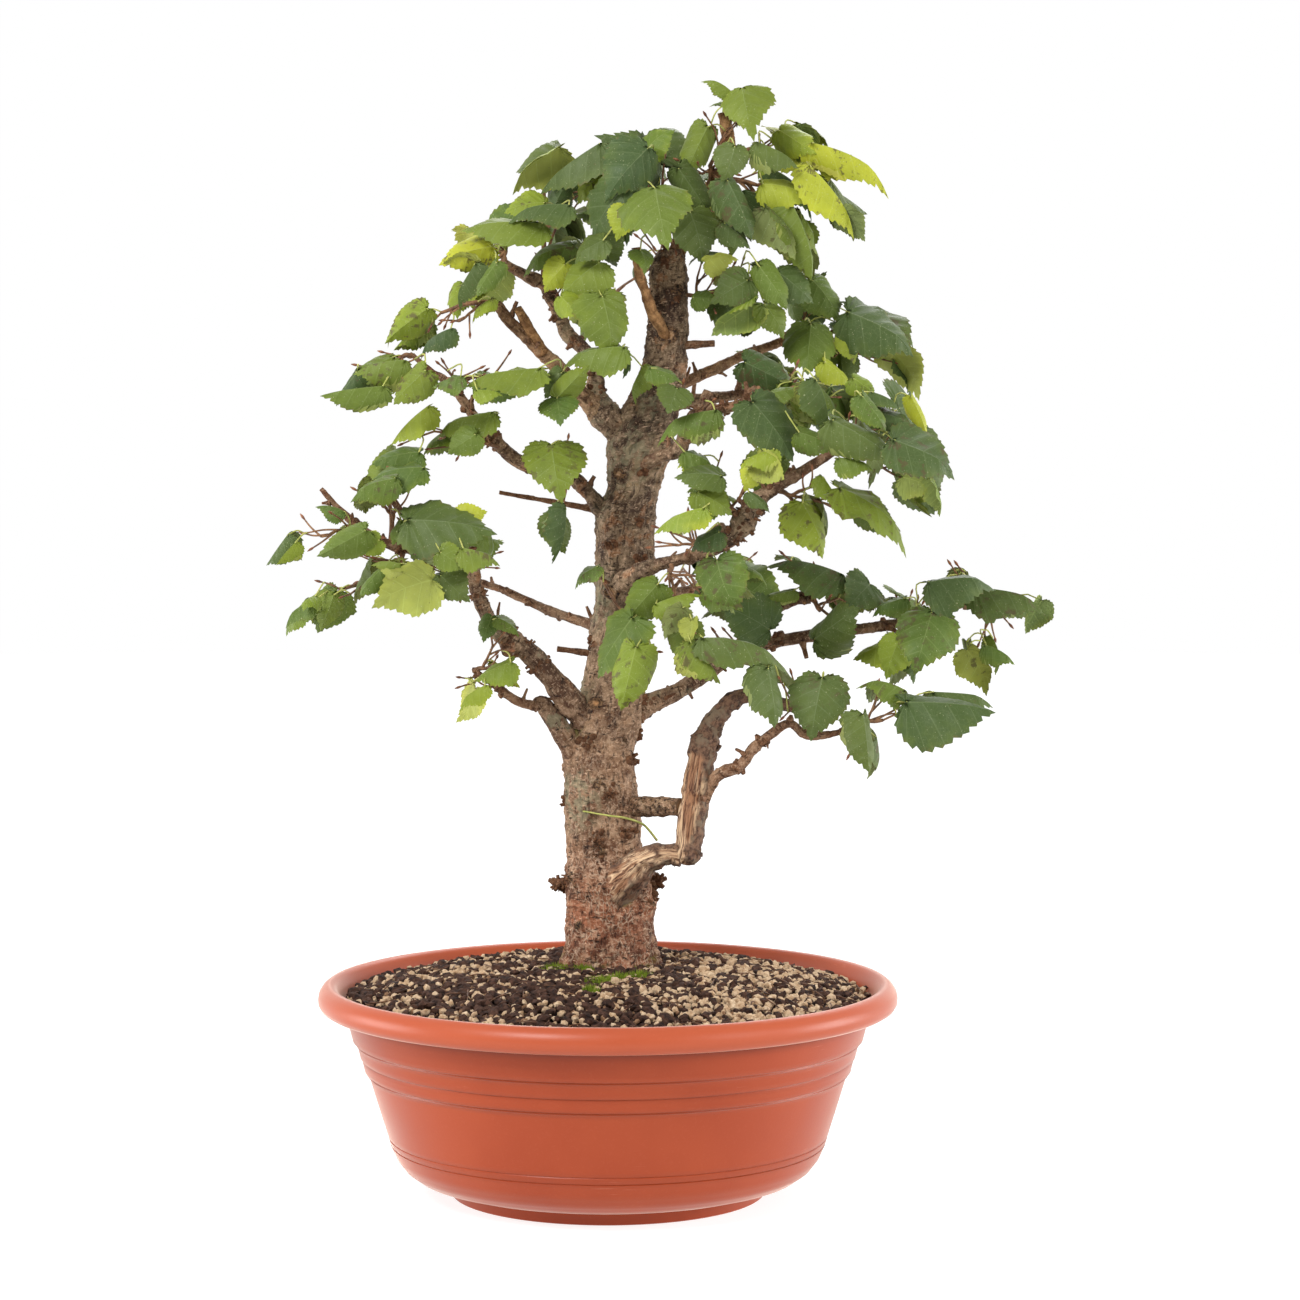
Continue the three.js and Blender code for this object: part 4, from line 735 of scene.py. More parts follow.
class Soup:
    """Points with quads, triangles, a look for each face and values for each point."""

    def __init__(self):
        self.points, self.quads, self.tris, self.quad_looks, self.tri_looks = [], [], [], [], []
        self.values, self.count = {}, 0

    def add(self, points, quads=(), tris=(), look=0, **values):
        points = np.asarray(points, float).reshape(-1, 3)
        quads = np.asarray(quads, int).reshape(-1, 4)
        tris = np.asarray(tris, int).reshape(-1, 3)
        self.points.append(points)
        self.quads.append(quads + self.count)
        self.tris.append(tris + self.count)
        self.quad_looks.append(np.full(len(quads), look))
        self.tri_looks.append(np.full(len(tris), look))
        for name, value in values.items():
            self.values.setdefault(name, []).append((self.count, np.asarray(value, float)))
        self.count += len(points)

    def shown(self, name, looks, smooth=True):
        """An object that shows what was added."""
        points = np.concatenate(self.points)
        quads, tris = np.concatenate(self.quads), np.concatenate(self.tris)
        mesh = bpy.data.meshes.new(name)
        mesh.vertices.add(len(points))
        mesh.vertices.foreach_set("co", (points * MM).astype(np.float32).ravel())
        corners = np.concatenate([quads.ravel(), tris.ravel()]).astype(np.int32)
        mesh.loops.add(len(corners))
        mesh.loops.foreach_set("vertex_index", corners)
        sizes = np.concatenate([np.full(len(quads), 4), np.full(len(tris), 3)])
        starts = np.concatenate([[0], np.cumsum(sizes)[:-1]]).astype(np.int32)
        mesh.polygons.add(len(sizes))
        mesh.polygons.foreach_set("loop_start", starts)
        faces = np.concatenate(self.quad_looks + self.tri_looks).astype(np.int32)
        mesh.polygons.foreach_set("material_index", faces)
        mesh.polygons.foreach_set("use_smooth", np.full(len(sizes), smooth))
        mesh.update(calc_edges=True)
        for key, rows in self.values.items():
            wide = rows[0][1].ndim > 1
            whole = np.zeros((len(points), 3) if wide else len(points), np.float32)
            for start, value in rows:
                whole[start : start + len(value)] = value
            attribute = mesh.attributes.new(key, "FLOAT_VECTOR" if wide else "FLOAT", "POINT")
            attribute.data.foreach_set("vector" if wide else "value", whole.ravel())
        for look in looks:
            mesh.materials.append(look)
        return linked(name, mesh)

    def build(self, name, slot, looks, smooth=True):
        """The same, as a piece of the part."""
        piece = self.shown(name, looks, smooth)
        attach(piece, "root")
        return piece


def grid_faces(rings, sides, closed=True):
    """Quads between rings of points; `closed` joins each ring's last point to its first."""
    ring, side = np.meshgrid(np.arange(rings - 1), np.arange(sides if closed else sides - 1), indexing="ij")
    a = ring * sides + side
    b = ring * sides + (side + 1) % sides
    return np.stack([a, b, b + sides, a + sides], axis=-1).reshape(-1, 4)


def sweep(path):
    """For each point of a path, two directions across it that turn with the path."""
    ahead = np.gradient(path, axis=0)
    ahead /= np.linalg.norm(ahead, axis=1)[:, None]
    sides = np.empty_like(ahead)
    side = FIRST_SIDE
    for k, forward in enumerate(ahead):
        side = unit(side - (side @ forward) * forward)
        sides[k] = side
    return sides, np.cross(ahead, sides)


def close_ends(rings, sides):
    """Triangles that close the first and the last ring on the two points after the rings."""
    k = np.arange(sides)
    first, last, top = rings * sides, rings * sides + 1, (rings - 1) * sides
    start = np.stack([np.full(sides, first), (k + 1) % sides, k], axis=1)
    end = np.stack([np.full(sides, last), top + k, top + (k + 1) % sides], axis=1)
    return np.vstack([start, end])


def facings(path, sides):
    """For each point of a path, the unit vectors to the points of a ring round it."""
    side, other = sweep(path)
    angle = (np.arange(sides) * TURN / sides)[None, :, None]
    return side[:, None] * np.cos(angle) + other[:, None] * np.sin(angle)


def tube(soup, points, radii, sides, steps):
    """A plain round tube along a curve, closed at its ends."""
    path = spaced(points, steps + 1)
    radius = spread(radii, np.linspace(0, 1, steps + 1))[:, None, None]
    rings = path[:, None] + radius * facings(path, sides)
    points = np.vstack([rings.reshape(-1, 3), path[0], path[-1]])
    soup.add(points, grid_faces(steps + 1, sides), close_ends(steps + 1, sides))


# ------------------------------------------------------------------ materials


class Look:
    """A node material, with short calls for the nodes that its pattern is made of."""

    def __init__(self, name, roughness=0.6, specular=0.35):
        self.material = bpy.data.materials.new(name)
        self.material.use_nodes = True
        self.nodes = self.material.node_tree.nodes
        self.links = self.material.node_tree.links
        self.shader = self.nodes["Principled BSDF"]
        self.shader.inputs["Roughness"].default_value = roughness
        self.shader.inputs["Specular IOR Level"].default_value = specular

    def node(self, kind, inputs=None, **settings):
        """A node with its settings, and with each input linked to an output or set to a value."""
        made = self.nodes.new(kind)
        for key, value in settings.items():
            setattr(made, key, value)
        for key, value in (inputs or {}).items():
            if isinstance(value, bpy.types.NodeSocket):
                self.links.new(value, made.inputs[key])
            else:
                made.inputs[key].default_value = value
        return made

    def place(self, attribute=None, scale=(1, 1, 1)):
        """An attribute, or else object coordinates in millimetres, stretched by `scale`."""
        if attribute:
            source = self.node("ShaderNodeAttribute", attribute_name=attribute).outputs["Vector"]
        else:
            source = self.node("ShaderNodeTexCoord").outputs["Object"]
            scale = [share / MM for share in scale]
        return self.node("ShaderNodeMapping", {"Vector": source, "Scale": scale}).outputs["Vector"]

    def axes(self, vector):
        """A vector's three values."""
        return self.node("ShaderNodeSeparateXYZ", {"Vector": vector}).outputs

    def noise(self, place, size, detail=3.0, rough=0.55):
        inputs = {"Vector": place, "Scale": 1 / size, "Detail": detail, "Roughness": rough}
        return self.node("ShaderNodeTexNoise", inputs).outputs["Fac"]

    def warped(self, place, size, far):
        """Coordinates pushed about by up to `far`, so that what is drawn on them isn't straight."""
        cloud = self.node("ShaderNodeTexNoise", {"Vector": place, "Scale": 1 / size, "Detail": 2.0})
        push = self.vector("SUBTRACT", cloud.outputs["Color"], (0.5, 0.5, 0.5))
        return self.vector("ADD", place, self.vector("MULTIPLY", push, (far, far, far)))

    def vector(self, operation, a, b):
        return self.node("ShaderNodeVectorMath", {0: a, 1: b}, operation=operation).outputs[0]

    def cells(self, place, size):
        """How far a point is from the border of its cell, in cells of about `size`."""
        inputs = {"Vector": place, "Scale": 1 / size}
        return self.node("ShaderNodeTexVoronoi", inputs, feature="DISTANCE_TO_EDGE").outputs["Distance"]

    def value(self, attribute):
        return self.node("ShaderNodeAttribute", attribute_name=attribute).outputs["Fac"]

    def ramp(self, value, low, high, start=0.0, end=1.0):
        """A value stretched so that low gives start and high gives end."""
        inputs = {"Value": value, "From Min": low, "From Max": high, "To Min": start, "To Max": end}
        return self.node("ShaderNodeMapRange", inputs, clamp=True).outputs["Result"]

    def math(self, operation, *values):
        return self.node("ShaderNodeMath", dict(enumerate(values)), operation=operation).outputs["Value"]

    def times(self, a, b):
        return self.math("MULTIPLY", a, b)

    def mix(self, share, a, b):
        """Two colours mixed; each is an output or an sRGB colour of three bytes."""
        a, b = (c if isinstance(c, bpy.types.NodeSocket) else linear(c) for c in (a, b))
        return self.node("ShaderNodeMix", {0: share, 6: a, 7: b}, data_type="RGBA").outputs[2]

    def paint(self, share, colour):
        """Lays a colour over what the look has so far."""
        self.colour = self.mix(share, self.colour, colour)

    def finish(self, roughness=None, height=None, depth=0.3):
        """Joins the colour, the roughness and a height of `depth` millimetres to the shader."""
        self.links.new(self.colour, self.shader.inputs["Base Color"])
        if roughness is not None:
            self.links.new(roughness, self.shader.inputs["Roughness"])
        if height is not None:
            bump = self.node("ShaderNodeBump", {"Height": height, "Strength": 1.0, "Distance": depth * MM})
            self.links.new(bump.outputs["Normal"], self.shader.inputs["Normal"])
        return self.material


def bark_ground(look, grain, level, tone):
    """Bark's ground colour: reddish low down, beige on the lower trunk and grey-brown above."""
    broad = look.ramp(look.noise(grain, 20, 4, 0.6), 0.4, 0.6)
    rusty = look.ramp(look.noise(grain, 12, 3, 0.6), 0.56, 0.64, 0, 0.6)
    low = look.mix(broad, [90, 52, 36], [143, 90, 64])
    middle = look.mix(broad, [98, 68, 49], [145, 113, 87])
    high = look.mix(rusty, look.mix(broad, [68, 52, 41], [134, 112, 88]), [146, 98, 64])
    look.colour = look.mix(look.ramp(level, 194, 246), low, middle)
    look.paint(look.ramp(level, 290, 400), high)
    look.paint(look.ramp(tone, 0.5, 0.66, 0, 0.55), [168, 140, 114])
    look.paint(look.ramp(tone, 0.34, 0.46, 0.55, 0), [70, 47, 37])


def bark_lace(look, grain, level):
    """Where a net of pale ridges lies on the lower trunk."""
    net = look.warped(look.place("grain", (1, 1, 0.55)), 4, 4)
    lace = look.ramp(look.cells(net, 3.2), 0, 0.12, 1, 0)
    lace = look.times(lace, look.ramp(look.noise(grain, 13, 2), 0.42, 0.6, 0.0, 0.5))
    lace = look.times(lace, look.ramp(level, 300, 360, 1, 0))
    return look.times(lace, look.ramp(level, 200, 250, 1.5, 0.8))


def bark_growths(look, grain, tone):
    """Lichen, knots, young and old wood, moss and cut ends, where the mesh's values put them."""
    grey = look.noise(grain, 6, 4, 0.65)
    lichen = look.times(look.value("lichen"), look.ramp(grey, 0.46, 0.54))
    look.paint(look.times(lichen, 0.6), [130, 126, 100])
    crumbs = look.mix(look.ramp(look.noise(grain, 1.7, 3, 0.7), 0.42, 0.6), [40, 29, 24], [116, 88, 62])
    knots = look.math("MULTIPLY_ADD", look.value("knot"), 0.55, look.noise(grain, 2.6, 3, 0.65))
    look.paint(look.ramp(knots, 0.68, 0.78), crumbs)
    look.paint(look.times(look.value("young"), 0.55), [122, 80, 54])
    tan = look.mix(look.ramp(tone, 0.4, 0.62), [112, 78, 48], [166, 124, 80])
    look.paint(look.times(look.value("old"), 0.85), tan)
    green = look.noise(grain, 2.5, 3)
    moss = look.times(look.value("moss"), look.ramp(green, 0.44, 0.54))
    look.paint(moss, [84, 82, 26])
    look.paint(look.value("cut"), [186, 138, 92])


def bark_look():
    """Bark with a lace of pale ridges, pits, cracks along the limb and dashes across it."""
    look = Look("bark", roughness=0.85, specular=0.2)
    grain = look.place("grain")
    across = look.warped(look.place("grain", (0.42, 0.42, 1.3)), 5, 3)
    level = look.axes(look.place())["Z"]
    tone = look.noise(grain, 5, 4, 0.7)
    lace = bark_lace(look, grain, level)
    bark_ground(look, grain, level, tone)
    look.paint(lace, [198, 172, 146])
    pits = look.noise(grain, 1.5, 3, 0.7)
    look.paint(look.ramp(pits, 0.58, 0.66, 0, 0.6), [62, 42, 33])
    look.paint(look.ramp(pits, 0.36, 0.43, 0.45, 0), [196, 168, 140])
    cracks = look.ramp(look.noise(look.place("grain", (1, 1, 0.28)), 2.4, 4, 0.7), 0.57, 0.66)
    look.paint(look.times(cracks, 0.8), [46, 30, 25])
    dashes = look.ramp(look.noise(across, 2.2, 2, 0.5), 0.6, 0.66)
    dashes = look.times(dashes, look.ramp(look.noise(grain, 11, 2), 0.4, 0.55, 0.2, 1))
    look.paint(look.times(dashes, 0.85), [42, 29, 24])
    pale = look.ramp(look.noise(across, 1.5, 1, 0.4), 0.68, 0.74, 0, 0.6)
    look.paint(pale, [206, 172, 142])
    bark_growths(look, grain, tone)
    height = look.math("MULTIPLY_ADD", tone, 0.9, look.times(dashes, -0.6))
    height = look.math("ADD", height, look.times(cracks, -0.7))
    height = look.math("MULTIPLY_ADD", lace, 0.4, height)
    return look.finish(look.ramp(tone, 0.3, 0.7, 0.95, 0.7), height, 1.2)


def deadwood_look():
    """Stripped wood with grain along the limb, and a strip of bark left on its far side."""
    look = Look("deadwood", roughness=0.75, specular=0.25)
    streak = look.warped(look.place("grain", (1, 1, 0.07)), 7, 2)
    grain = look.place("grain")
    fine = look.noise(streak, 1.5, 4, 0.7)
    broad = look.noise(streak, 5, 3)
    look.colour = look.mix(look.ramp(broad, 0.42, 0.6), [212, 180, 144], [146, 104, 74])
    look.paint(look.ramp(fine, 0.46, 0.6, 0, 1), [74, 45, 33])
    spots = look.noise(grain, 3.0, 4, 0.7)
    rough = look.mix(look.ramp(spots, 0.42, 0.6), [118, 88, 68], [72, 52, 42])
    rough = look.mix(look.ramp(look.noise(grain, 8, 3), 0.5, 0.62, 0, 0.7), rough, [124, 108, 88])
    lines = look.noise(look.place("grain", (1, 1, 0.3)), 2.2, 3, 0.6)
    rough = look.mix(look.ramp(lines, 0.56, 0.64, 0, 0.8), rough, [40, 28, 24])
    look.paint(look.value("bark"), rough)
    look.paint(look.times(look.value("knot"), 0.7), [70, 48, 36])
    look.paint(look.value("cut"), [196, 128, 78])
    height = look.math("ADD", look.times(fine, -0.9), look.times(spots, 0.5))
    return look.finish(look.ramp(fine, 0.3, 0.7, 0.62, 0.88), height, 0.8)


def twig_look(name, dark, light):
    look = Look(name, roughness=0.6, specular=0.3)
    place = look.place()
    tone = look.noise(place, 5, 3)
    look.colour = look.mix(look.ramp(tone, 0.35, 0.65), dark, light)
    fine = look.noise(place, 1.2, 2)
    return look.finish(look.ramp(tone, 0.3, 0.7, 0.5, 0.75), fine)


def leaf_look(name, colour, vein, rust, roughness, veined):
    """A leaf's side: its tint wanders from leaf to leaf, its veins are paler and some have blotches."""
    look = Look(name, roughness=roughness, specular=0.24)
    place = look.place()
    row, out, leaf = look.axes(look.place("blade"))
    look.colour = look.mix(leaf, toned(colour, [0.78, 0.85, 0.92]), toned(colour, [1.14, 1.08, 0.94]))
    cloud = look.noise(place, 16, 3)
    look.paint(look.ramp(cloud, 0.35, 0.65, 0, 0.35), toned(colour, 0.82))
    mesh = look.ramp(look.cells(look.warped(place, 6, 3), 4.2), 0.0, 0.07, 0.045 / veined, 0)
    look.paint(mesh, vein)
    ribs = look.math("ABSOLUTE", look.math("SUBTRACT", look.math("FRACT", row), 0.5))
    side_vein = look.ramp(ribs, 0.455, 0.492)
    midrib = look.ramp(out, 0.0, 0.035, 1, 0)
    lines = look.math("MAXIMUM", look.times(side_vein, veined), look.times(midrib, 0.5))
    look.paint(lines, vein)
    pale = look.times(look.ramp(out, 0.45, 1.0), look.ramp(look.noise(place, 12, 2), 0.42, 0.62, 0, 0.4))
    look.paint(pale, toned(colour, [1.24, 1.18, 0.95]))
    specks = look.noise(place, 2.2, 2, 0.6)
    look.paint(look.ramp(specks, 0.68, 0.74, 0, 0.5), [84, 70, 40])
    dots = look.noise(place, 1.1, 1)
    look.paint(look.ramp(dots, 0.7, 0.75, 0, 0.45), [176, 180, 136])
    edge = look.times(look.ramp(out, 0.9, 1.0), look.ramp(look.noise(place, 5, 2), 0.5, 0.6))
    look.paint(look.times(edge, 0.35), [112, 84, 44])
    ill = look.ramp(look.math("FRACT", look.times(leaf, 7.0)), 0.7, 0.74)
    between_veins = look.ramp(ribs, 0.3, 0.46, 1, 0)
    spots = look.times(look.ramp(look.noise(place, 9, 4, 0.7), 0.55, 0.61, 0, rust), between_veins)
    look.paint(look.times(ill, spots), [78, 68, 42])
    height = look.math("MULTIPLY_ADD", look.noise(place, 1.6, 3), 0.35, look.times(lines, -0.4))
    return look.finish(look.ramp(cloud, 0.3, 0.7, roughness - 0.06, roughness + 0.1), height, 0.35)


def bowl_look():
    """Semi-matt terracotta plastic: faint clouding, fine scratches, dirt, and painted shade in grooves and
    under the lip.
    """
    look = Look("bowl_plastic", roughness=0.36, specular=0.26)
    look.shader.inputs["Sheen Weight"].default_value = 0.68
    look.shader.inputs["Sheen Roughness"].default_value = 0.26
    look.shader.inputs["Sheen Tint"].default_value = (1.0, 0.82, 0.7, 1)
    place = look.place()
    cloud = look.noise(place, 70, 3)
    look.colour = look.mix(look.ramp(cloud, 0.35, 0.65), [150, 59, 26], [156, 64, 30])
    level = look.axes(place)["Z"]
    # painted highlight: the top of the lip is lighter, as if lit from above
    look.paint(look.ramp(level, 127, 131, 0, 0.6), [176, 86, 57])
    fine = look.noise(place, 2.0, 3, 0.6)
    look.paint(look.ramp(fine, 0.55, 0.75, 0, 0.1), [188, 98, 70])
    # painted shade: darker pot colour in the grooves and under the lip
    look.paint(look.times(look.value("groove"), 0.5), [84, 32, 20])
    turning = look.place(scale=(0.03, 0.03, 1))
    scuff = look.ramp(look.noise(turning, 0.6, 2), 0.66, 0.72)
    scuff = look.times(scuff, look.ramp(look.noise(place, 45, 2), 0.58, 0.68))
    look.paint(look.times(scuff, 0.35), [206, 134, 108])
    dirt = look.ramp(look.noise(place, 4, 4, 0.7), 0.68, 0.74)
    dirt = look.times(dirt, look.ramp(look.noise(place, 50, 2), 0.58, 0.68))
    look.paint(look.times(dirt, 0.6), [84, 50, 36])
    return look.finish(look.ramp(cloud, 0.3, 0.7, 0.32, 0.42), look.noise(place, 0.9, 2), 0.05)


def soil_look(name, dark, light, roughness=0.95):
    look = Look(name, roughness=roughness, specular=0.15)
    place = look.place()
    tone = look.noise(place, 4.5, 3, 0.6)
    look.colour = look.mix(look.ramp(tone, 0.35, 0.68), dark, light)
    fine = look.noise(place, 0.9, 3, 0.7)
    look.paint(look.ramp(fine, 0.5, 0.75, 0, 0.35), toned(dark, 0.55))
    return look.finish(None, fine, 0.5)


def moss_look():
    look = Look("moss", roughness=0.9, specular=0.15)
    tone = look.noise(look.place(), 5, 3)
    look.colour = look.mix(look.ramp(tone, 0.35, 0.65), [78, 98, 22], [140, 156, 52])
    return look.finish()


def stage_look(name, colour, glow):
    """A plain pale surface that glows a little, as a light table does."""
    look = Look(name, roughness=0.9, specular=0.0)
    look.shader.inputs["Emission Color"].default_value = (1, 1, 1, 1)
    look.shader.inputs["Emission Strength"].default_value = glow
    tone = look.noise(look.place(), 400, 2)
    look.colour = look.mix(look.ramp(tone, 0.3, 0.7), colour, toned(colour, 1, 3))
    return look.finish()


# ------------------------------------------------------------------ the limbs, as the solids have them

trunk_path = np.array([[x, y, height] for height, x, y, _ in TRUNK], float)
trunk_heights = np.array([row[0] for row in TRUNK], float)
trunk_radii = np.array([row[3] for row in TRUNK], float)


def trunk_share(height):
    return np.interp(height, trunk_heights, np.linspace(0, 1, len(TRUNK)))


limbs = {"trunk": (trunk_path, trunk_radii)}
for name, bough in BOUGHS.items():
    path = [np.array(bough["foot"], float)]
    for length, heading, rise in bough["legs"]:
        path.append(path[-1] + length * aim(heading, rise))
    limbs[name] = (np.array(path), np.array(bough["girth"]) / 2)


def point_on(host, at):
    return along(limbs[host][0], trunk_share(at) if host == "trunk" else at)


def stub_path(host, at, heading, rise, length):
    start = point_on(host, at)
    return np.array([start, start + length * aim(heading, rise)])


stubs = [(host, at, stub_path(host, at, *way), np.array(girth) / 2) for host, at, *way, girth in STUBS]

# Where boughs leave the trunk, its bark swells into collars: height, angle and girth.
collars = []
for bough in BOUGHS.values():
    length, heading, rise = bough["legs"][0]
    if bough["host"] == "trunk":
        level = bough["foot"][2] + length * math.sin(math.radians(rise))
        collars.append((level, math.radians(heading), bough["girth"][0]))


def trunk_radius(height, angle):
    """The trunk's radius at heights and angles: taper, ridges, root flare and the boughs' collars."""
    plain = np.interp(height, trunk_heights, trunk_radii)
    ridges = sum(depth * np.sin(count * angle + height / rise) for depth, count, rise in RIDGES)
    lobes = 1 - FLARE_LOBES + FLARE_LOBES * np.sin(FLARE_ROOTS * angle + FLARE_TURN)
    flare = FLARE * np.exp((GROUND - height) / FLARE_HEIGHT) * lobes
    swell = 0
    for level, heading, girth in collars:
        away = (height - level) / girth
        facing = np.maximum(0, np.cos(angle - heading))
        swell = swell + COLLAR_SWELL * girth * np.exp(-away * away) * facing**3
    return plain * (1 + ridges) + flare + swell


# Every limb, stub and twig as a run of balls, to keep twigs and leaves clear of them.
ball_points, ball_radii, ball_owners = np.empty((0, 3)), np.empty(0), np.empty(0, int)
owners = list(BOUGHS) + ["trunk"] + list(MASSES)


def add_balls(owner, points, radii, spacing, allowance=1.0):
    global ball_points, ball_radii, ball_owners
    count = math.ceil(length_of(points) / spacing)
    share = np.linspace(0, 1, count + 1)
    ball_points = np.vstack([ball_points, along(points, share)])
    ball_radii = np.concatenate([ball_radii, spread(radii, share) * allowance])
    ball_owners = np.concatenate([ball_owners, np.full(count + 1, owners.index(owner))])


for name, (path, radii) in limbs.items():
    add_balls(name, path, radii, BALL_SPACING, TRUNK_ALLOWANCE if name == "trunk" else 1)
for host, _, path, radii in stubs:
    add_balls(host, path, radii, BALL_SPACING)


def clear_of(points, clearance, *ignored):
    """Whether points stay clear of every limb and twig apart from the ignored ones."""
    kept = ~np.isin(ball_owners, [owners.index(name) for name in ignored if name])
    return bool(np.all(gaps_between(points, ball_points[kept]) > ball_radii[kept] + clearance))


# ------------------------------------------------------------------ twigs, by the solids' rule


def twig_to(start, centre, reach, mass, host=None):
    """A stem bows upwards and a side twig is straight, if that keeps them clear of other limbs."""
    whole = np.linalg.norm(centre - start)
    least = 0
    if host:
        own = ball_owners == owners.index(host)
        nearest = np.argmin(np.linalg.norm(ball_points[own] - start, axis=1))
        least = ball_radii[own][nearest] + STEM_SHOWS
    share = max(1 - TWIG_ENDS * reach / whole, SHORTEST_TWIG, least / whole)
    end = start + (centre - start) * min(share, 1)
    ahead = unit(end - start)
    side = unit(np.cross(UP, ahead))
    up = np.cross(ahead, side)
    for turn in range(1 if host else 0, BOW_WAYS * MOST_BOWS + 1):
        angle = TURN * ((turn - 1) % BOW_WAYS) * BOW_SKIP / BOW_WAYS
        bow = np.linalg.norm(end - start) * BOW * math.ceil(turn / BOW_WAYS)
        bend = (start + end) / 2 + bow * (math.cos(angle) * up + math.sin(angle) * side)
        curve = np.array([start, bend, end]) if turn else np.array([start, end])
        points = spaced(curve, TWIG_TOUCHES + 1)[2:]
        free = along(curve, 1.0 if host else 0.5)
        if clear_of(points, TWIG_CLEARANCE, mass, host) and clear_of(free, TWIG_CLEARANCE, mass):
            return curve
    return None


shoots = []
for mass, (host, at, seed, tint, rows) in MASSES.items():
    foot = point_on(host, at)
    stem, first_fork = None, FORKS[0]
    for row, (length, heading, rise, reach, leaves) in enumerate(rows):
        centre = foot + length * aim(heading, rise)
        if stem is None:
            twig = twig_to(foot, centre, reach, mass, host)
        else:
            share = first_fork + (FORKS[1] - first_fork) * (row - 1) / (len(rows) - 1)
            twig = twig_to(along(stem, share), centre, reach, mass)
        if twig is None:
            continue
        radii = TWIG_RADIUS if stem is not None else STEM_RADIUS
        draw = seeded(seed + SEED_STEP * len(shoots))
        shoots.append(dict(mass=mass, tint=tint, centre=centre, heading=heading, reach=reach,
                           leaves=leaves, twig=twig, radii=radii, draw=draw))
        add_balls(mass, twig, radii, TWIG_BALL_SPACING)
        if stem is None:
            stem = twig
            while first_fork < FORKS[1] and not clear_of(along(stem, first_fork), FORK_CLEARANCE, mass):
                first_fork += FORK_STEP

shoot_centres = np.array([shoot["centre"] for shoot in shoots])
shoot_reaches = np.array([shoot["reach"] for shoot in shoots], float)
shoot_masses = np.array([owners.index(shoot["mass"]) for shoot in shoots])


def keeps_to_its_space(points, shoot):
    """Whether points are nearer, by the spheres' power distance, to their own mass than to another."""
    points = np.atleast_2d(points)
    rival = shoot_masses != owners.index(shoot["mass"])
    claims = ((points[:, None] - shoot_centres[rival][None]) ** 2).sum(axis=2) - shoot_reaches[rival] ** 2
    own = ((points - shoot["centre"]) ** 2).sum(axis=1) - shoot["reach"] ** 2
    apart = 2 * np.linalg.norm(shoot_centres[rival] - shoot["centre"], axis=1)
    return bool(np.all((claims - own[:, None]) / apart > GAP))


shown_places = np.array([
    [x + (tip_x - x) * share, y + (tip_y - y) * share]
    for x, y, tip_x, tip_y, *_ in SHOWN_LEAVES for share in (0, 0.35, 0.7, 1)
])


def among_leaves(point):
    """Whether a point lies in the picture where the photograph shows leaves."""
    return np.linalg.norm(shown_places - pixel_of(point), axis=1).min() < TWIG_PIXELS


def add_sprigs(shoot, between):
    """Finer twigs that fork from a shoot's twig towards its leaves, and the nodes leaves may grow at."""
    twig, reach = shoot["twig"], shoot["reach"]
    ahead = unit(twig[-1] - twig[0])
    shoot["sprigs"] = []
    nodes = [along(twig, share) for share in TWIG_NODES]
    for sprig in range(SPRIGS):
        start = along(twig, 1 - SPRIG_SPACING * sprig)
        for _ in range(SPRIG_TRIES):
            lean = between(*SPRIG_LEANS)
            axis = unit(np.cross(ahead, aim(between(0, 360), between(-60, 60))))
            way = unit(turned(ahead, axis, math.radians(lean)) + SPRIG_LIFT * UP)
            size = reach * between(*SPRIG_LENGTHS)
            middle = start + way * size * 0.55 + turned(axis, way, 1.0) * size * between(*SPRIG_BOWS)
            end = start + way * size
            curve = np.array([start, middle, end])
            inside = np.linalg.norm(end - shoot["centre"]) < reach and keeps_to_its_space(end, shoot)
            if inside and among_leaves(end) and clear_of(spaced(curve, 6)[2:], SPRIG_CLEARANCE):
                shoot["sprigs"].append(curve)
                nodes += [along(curve, share) for share in SPRIG_NODES]
                break
    shoot["nodes"] = np.array(nodes)


# ------------------------------------------------------------------ leaves

TOUCH_HALF = np.array([[-0.05, 0.2], [0.12, 0.42], [0.35, 0.42], [0.6, 0.28], [0.3, 0.2]])
TOUCH_FLAT = np.vstack([TOUCH_HALF, TOUCH_HALF * [1, -1], [[0.05, 0], [0.4, 0], [0.75, 0], [1, 0]]])


def bent_blade(flat, leaf):
    """Points of the flat blade, [..., along, across] shares, folded, curled and drooping as the leaf is."""
    run, out, sign = flat[..., 0], np.abs(flat[..., 1]), np.sign(flat[..., 1])
    lean = np.where(sign > 0, *leaf["folds"]) + leaf["curl"] * out / HALF_BREADTH
    across = out * np.cos(lean) * sign
    rim = (out / HALF_BREADTH) ** 2
    lift = out * np.sin(lean) + leaf["wave"] * np.sin(run * leaf["waves"] + leaf["phase"] * sign) * rim
    hang = np.maximum(run - TIP_BEGINS, 0) ** 2
    turn = leaf["droop"] * run + leaf["tip"] * hang
    bend = max(leaf["droop"], LEAST_DROOP)
    spine = np.sin(bend * run) / bend
    sag = -(1 - np.cos(bend * run)) / bend - 0.5 * leaf["tip"] * hang
    ahead = spine + lift * np.sin(turn)
    height = sag + lift * np.cos(turn)
    twist = leaf["twist"] * run
    return np.stack([ahead, across * np.cos(twist) - height * np.sin(twist),
                     across * np.sin(twist) + height * np.cos(twist)], axis=-1)


def in_place(local, leaf):
    """Blade points in shares of the leaf's length, moved to where the leaf is."""
    axes = np.stack([leaf["along"], leaf["across"], leaf["normal"]])
    return leaf["base"] + leaf["length"] * (local @ axes)


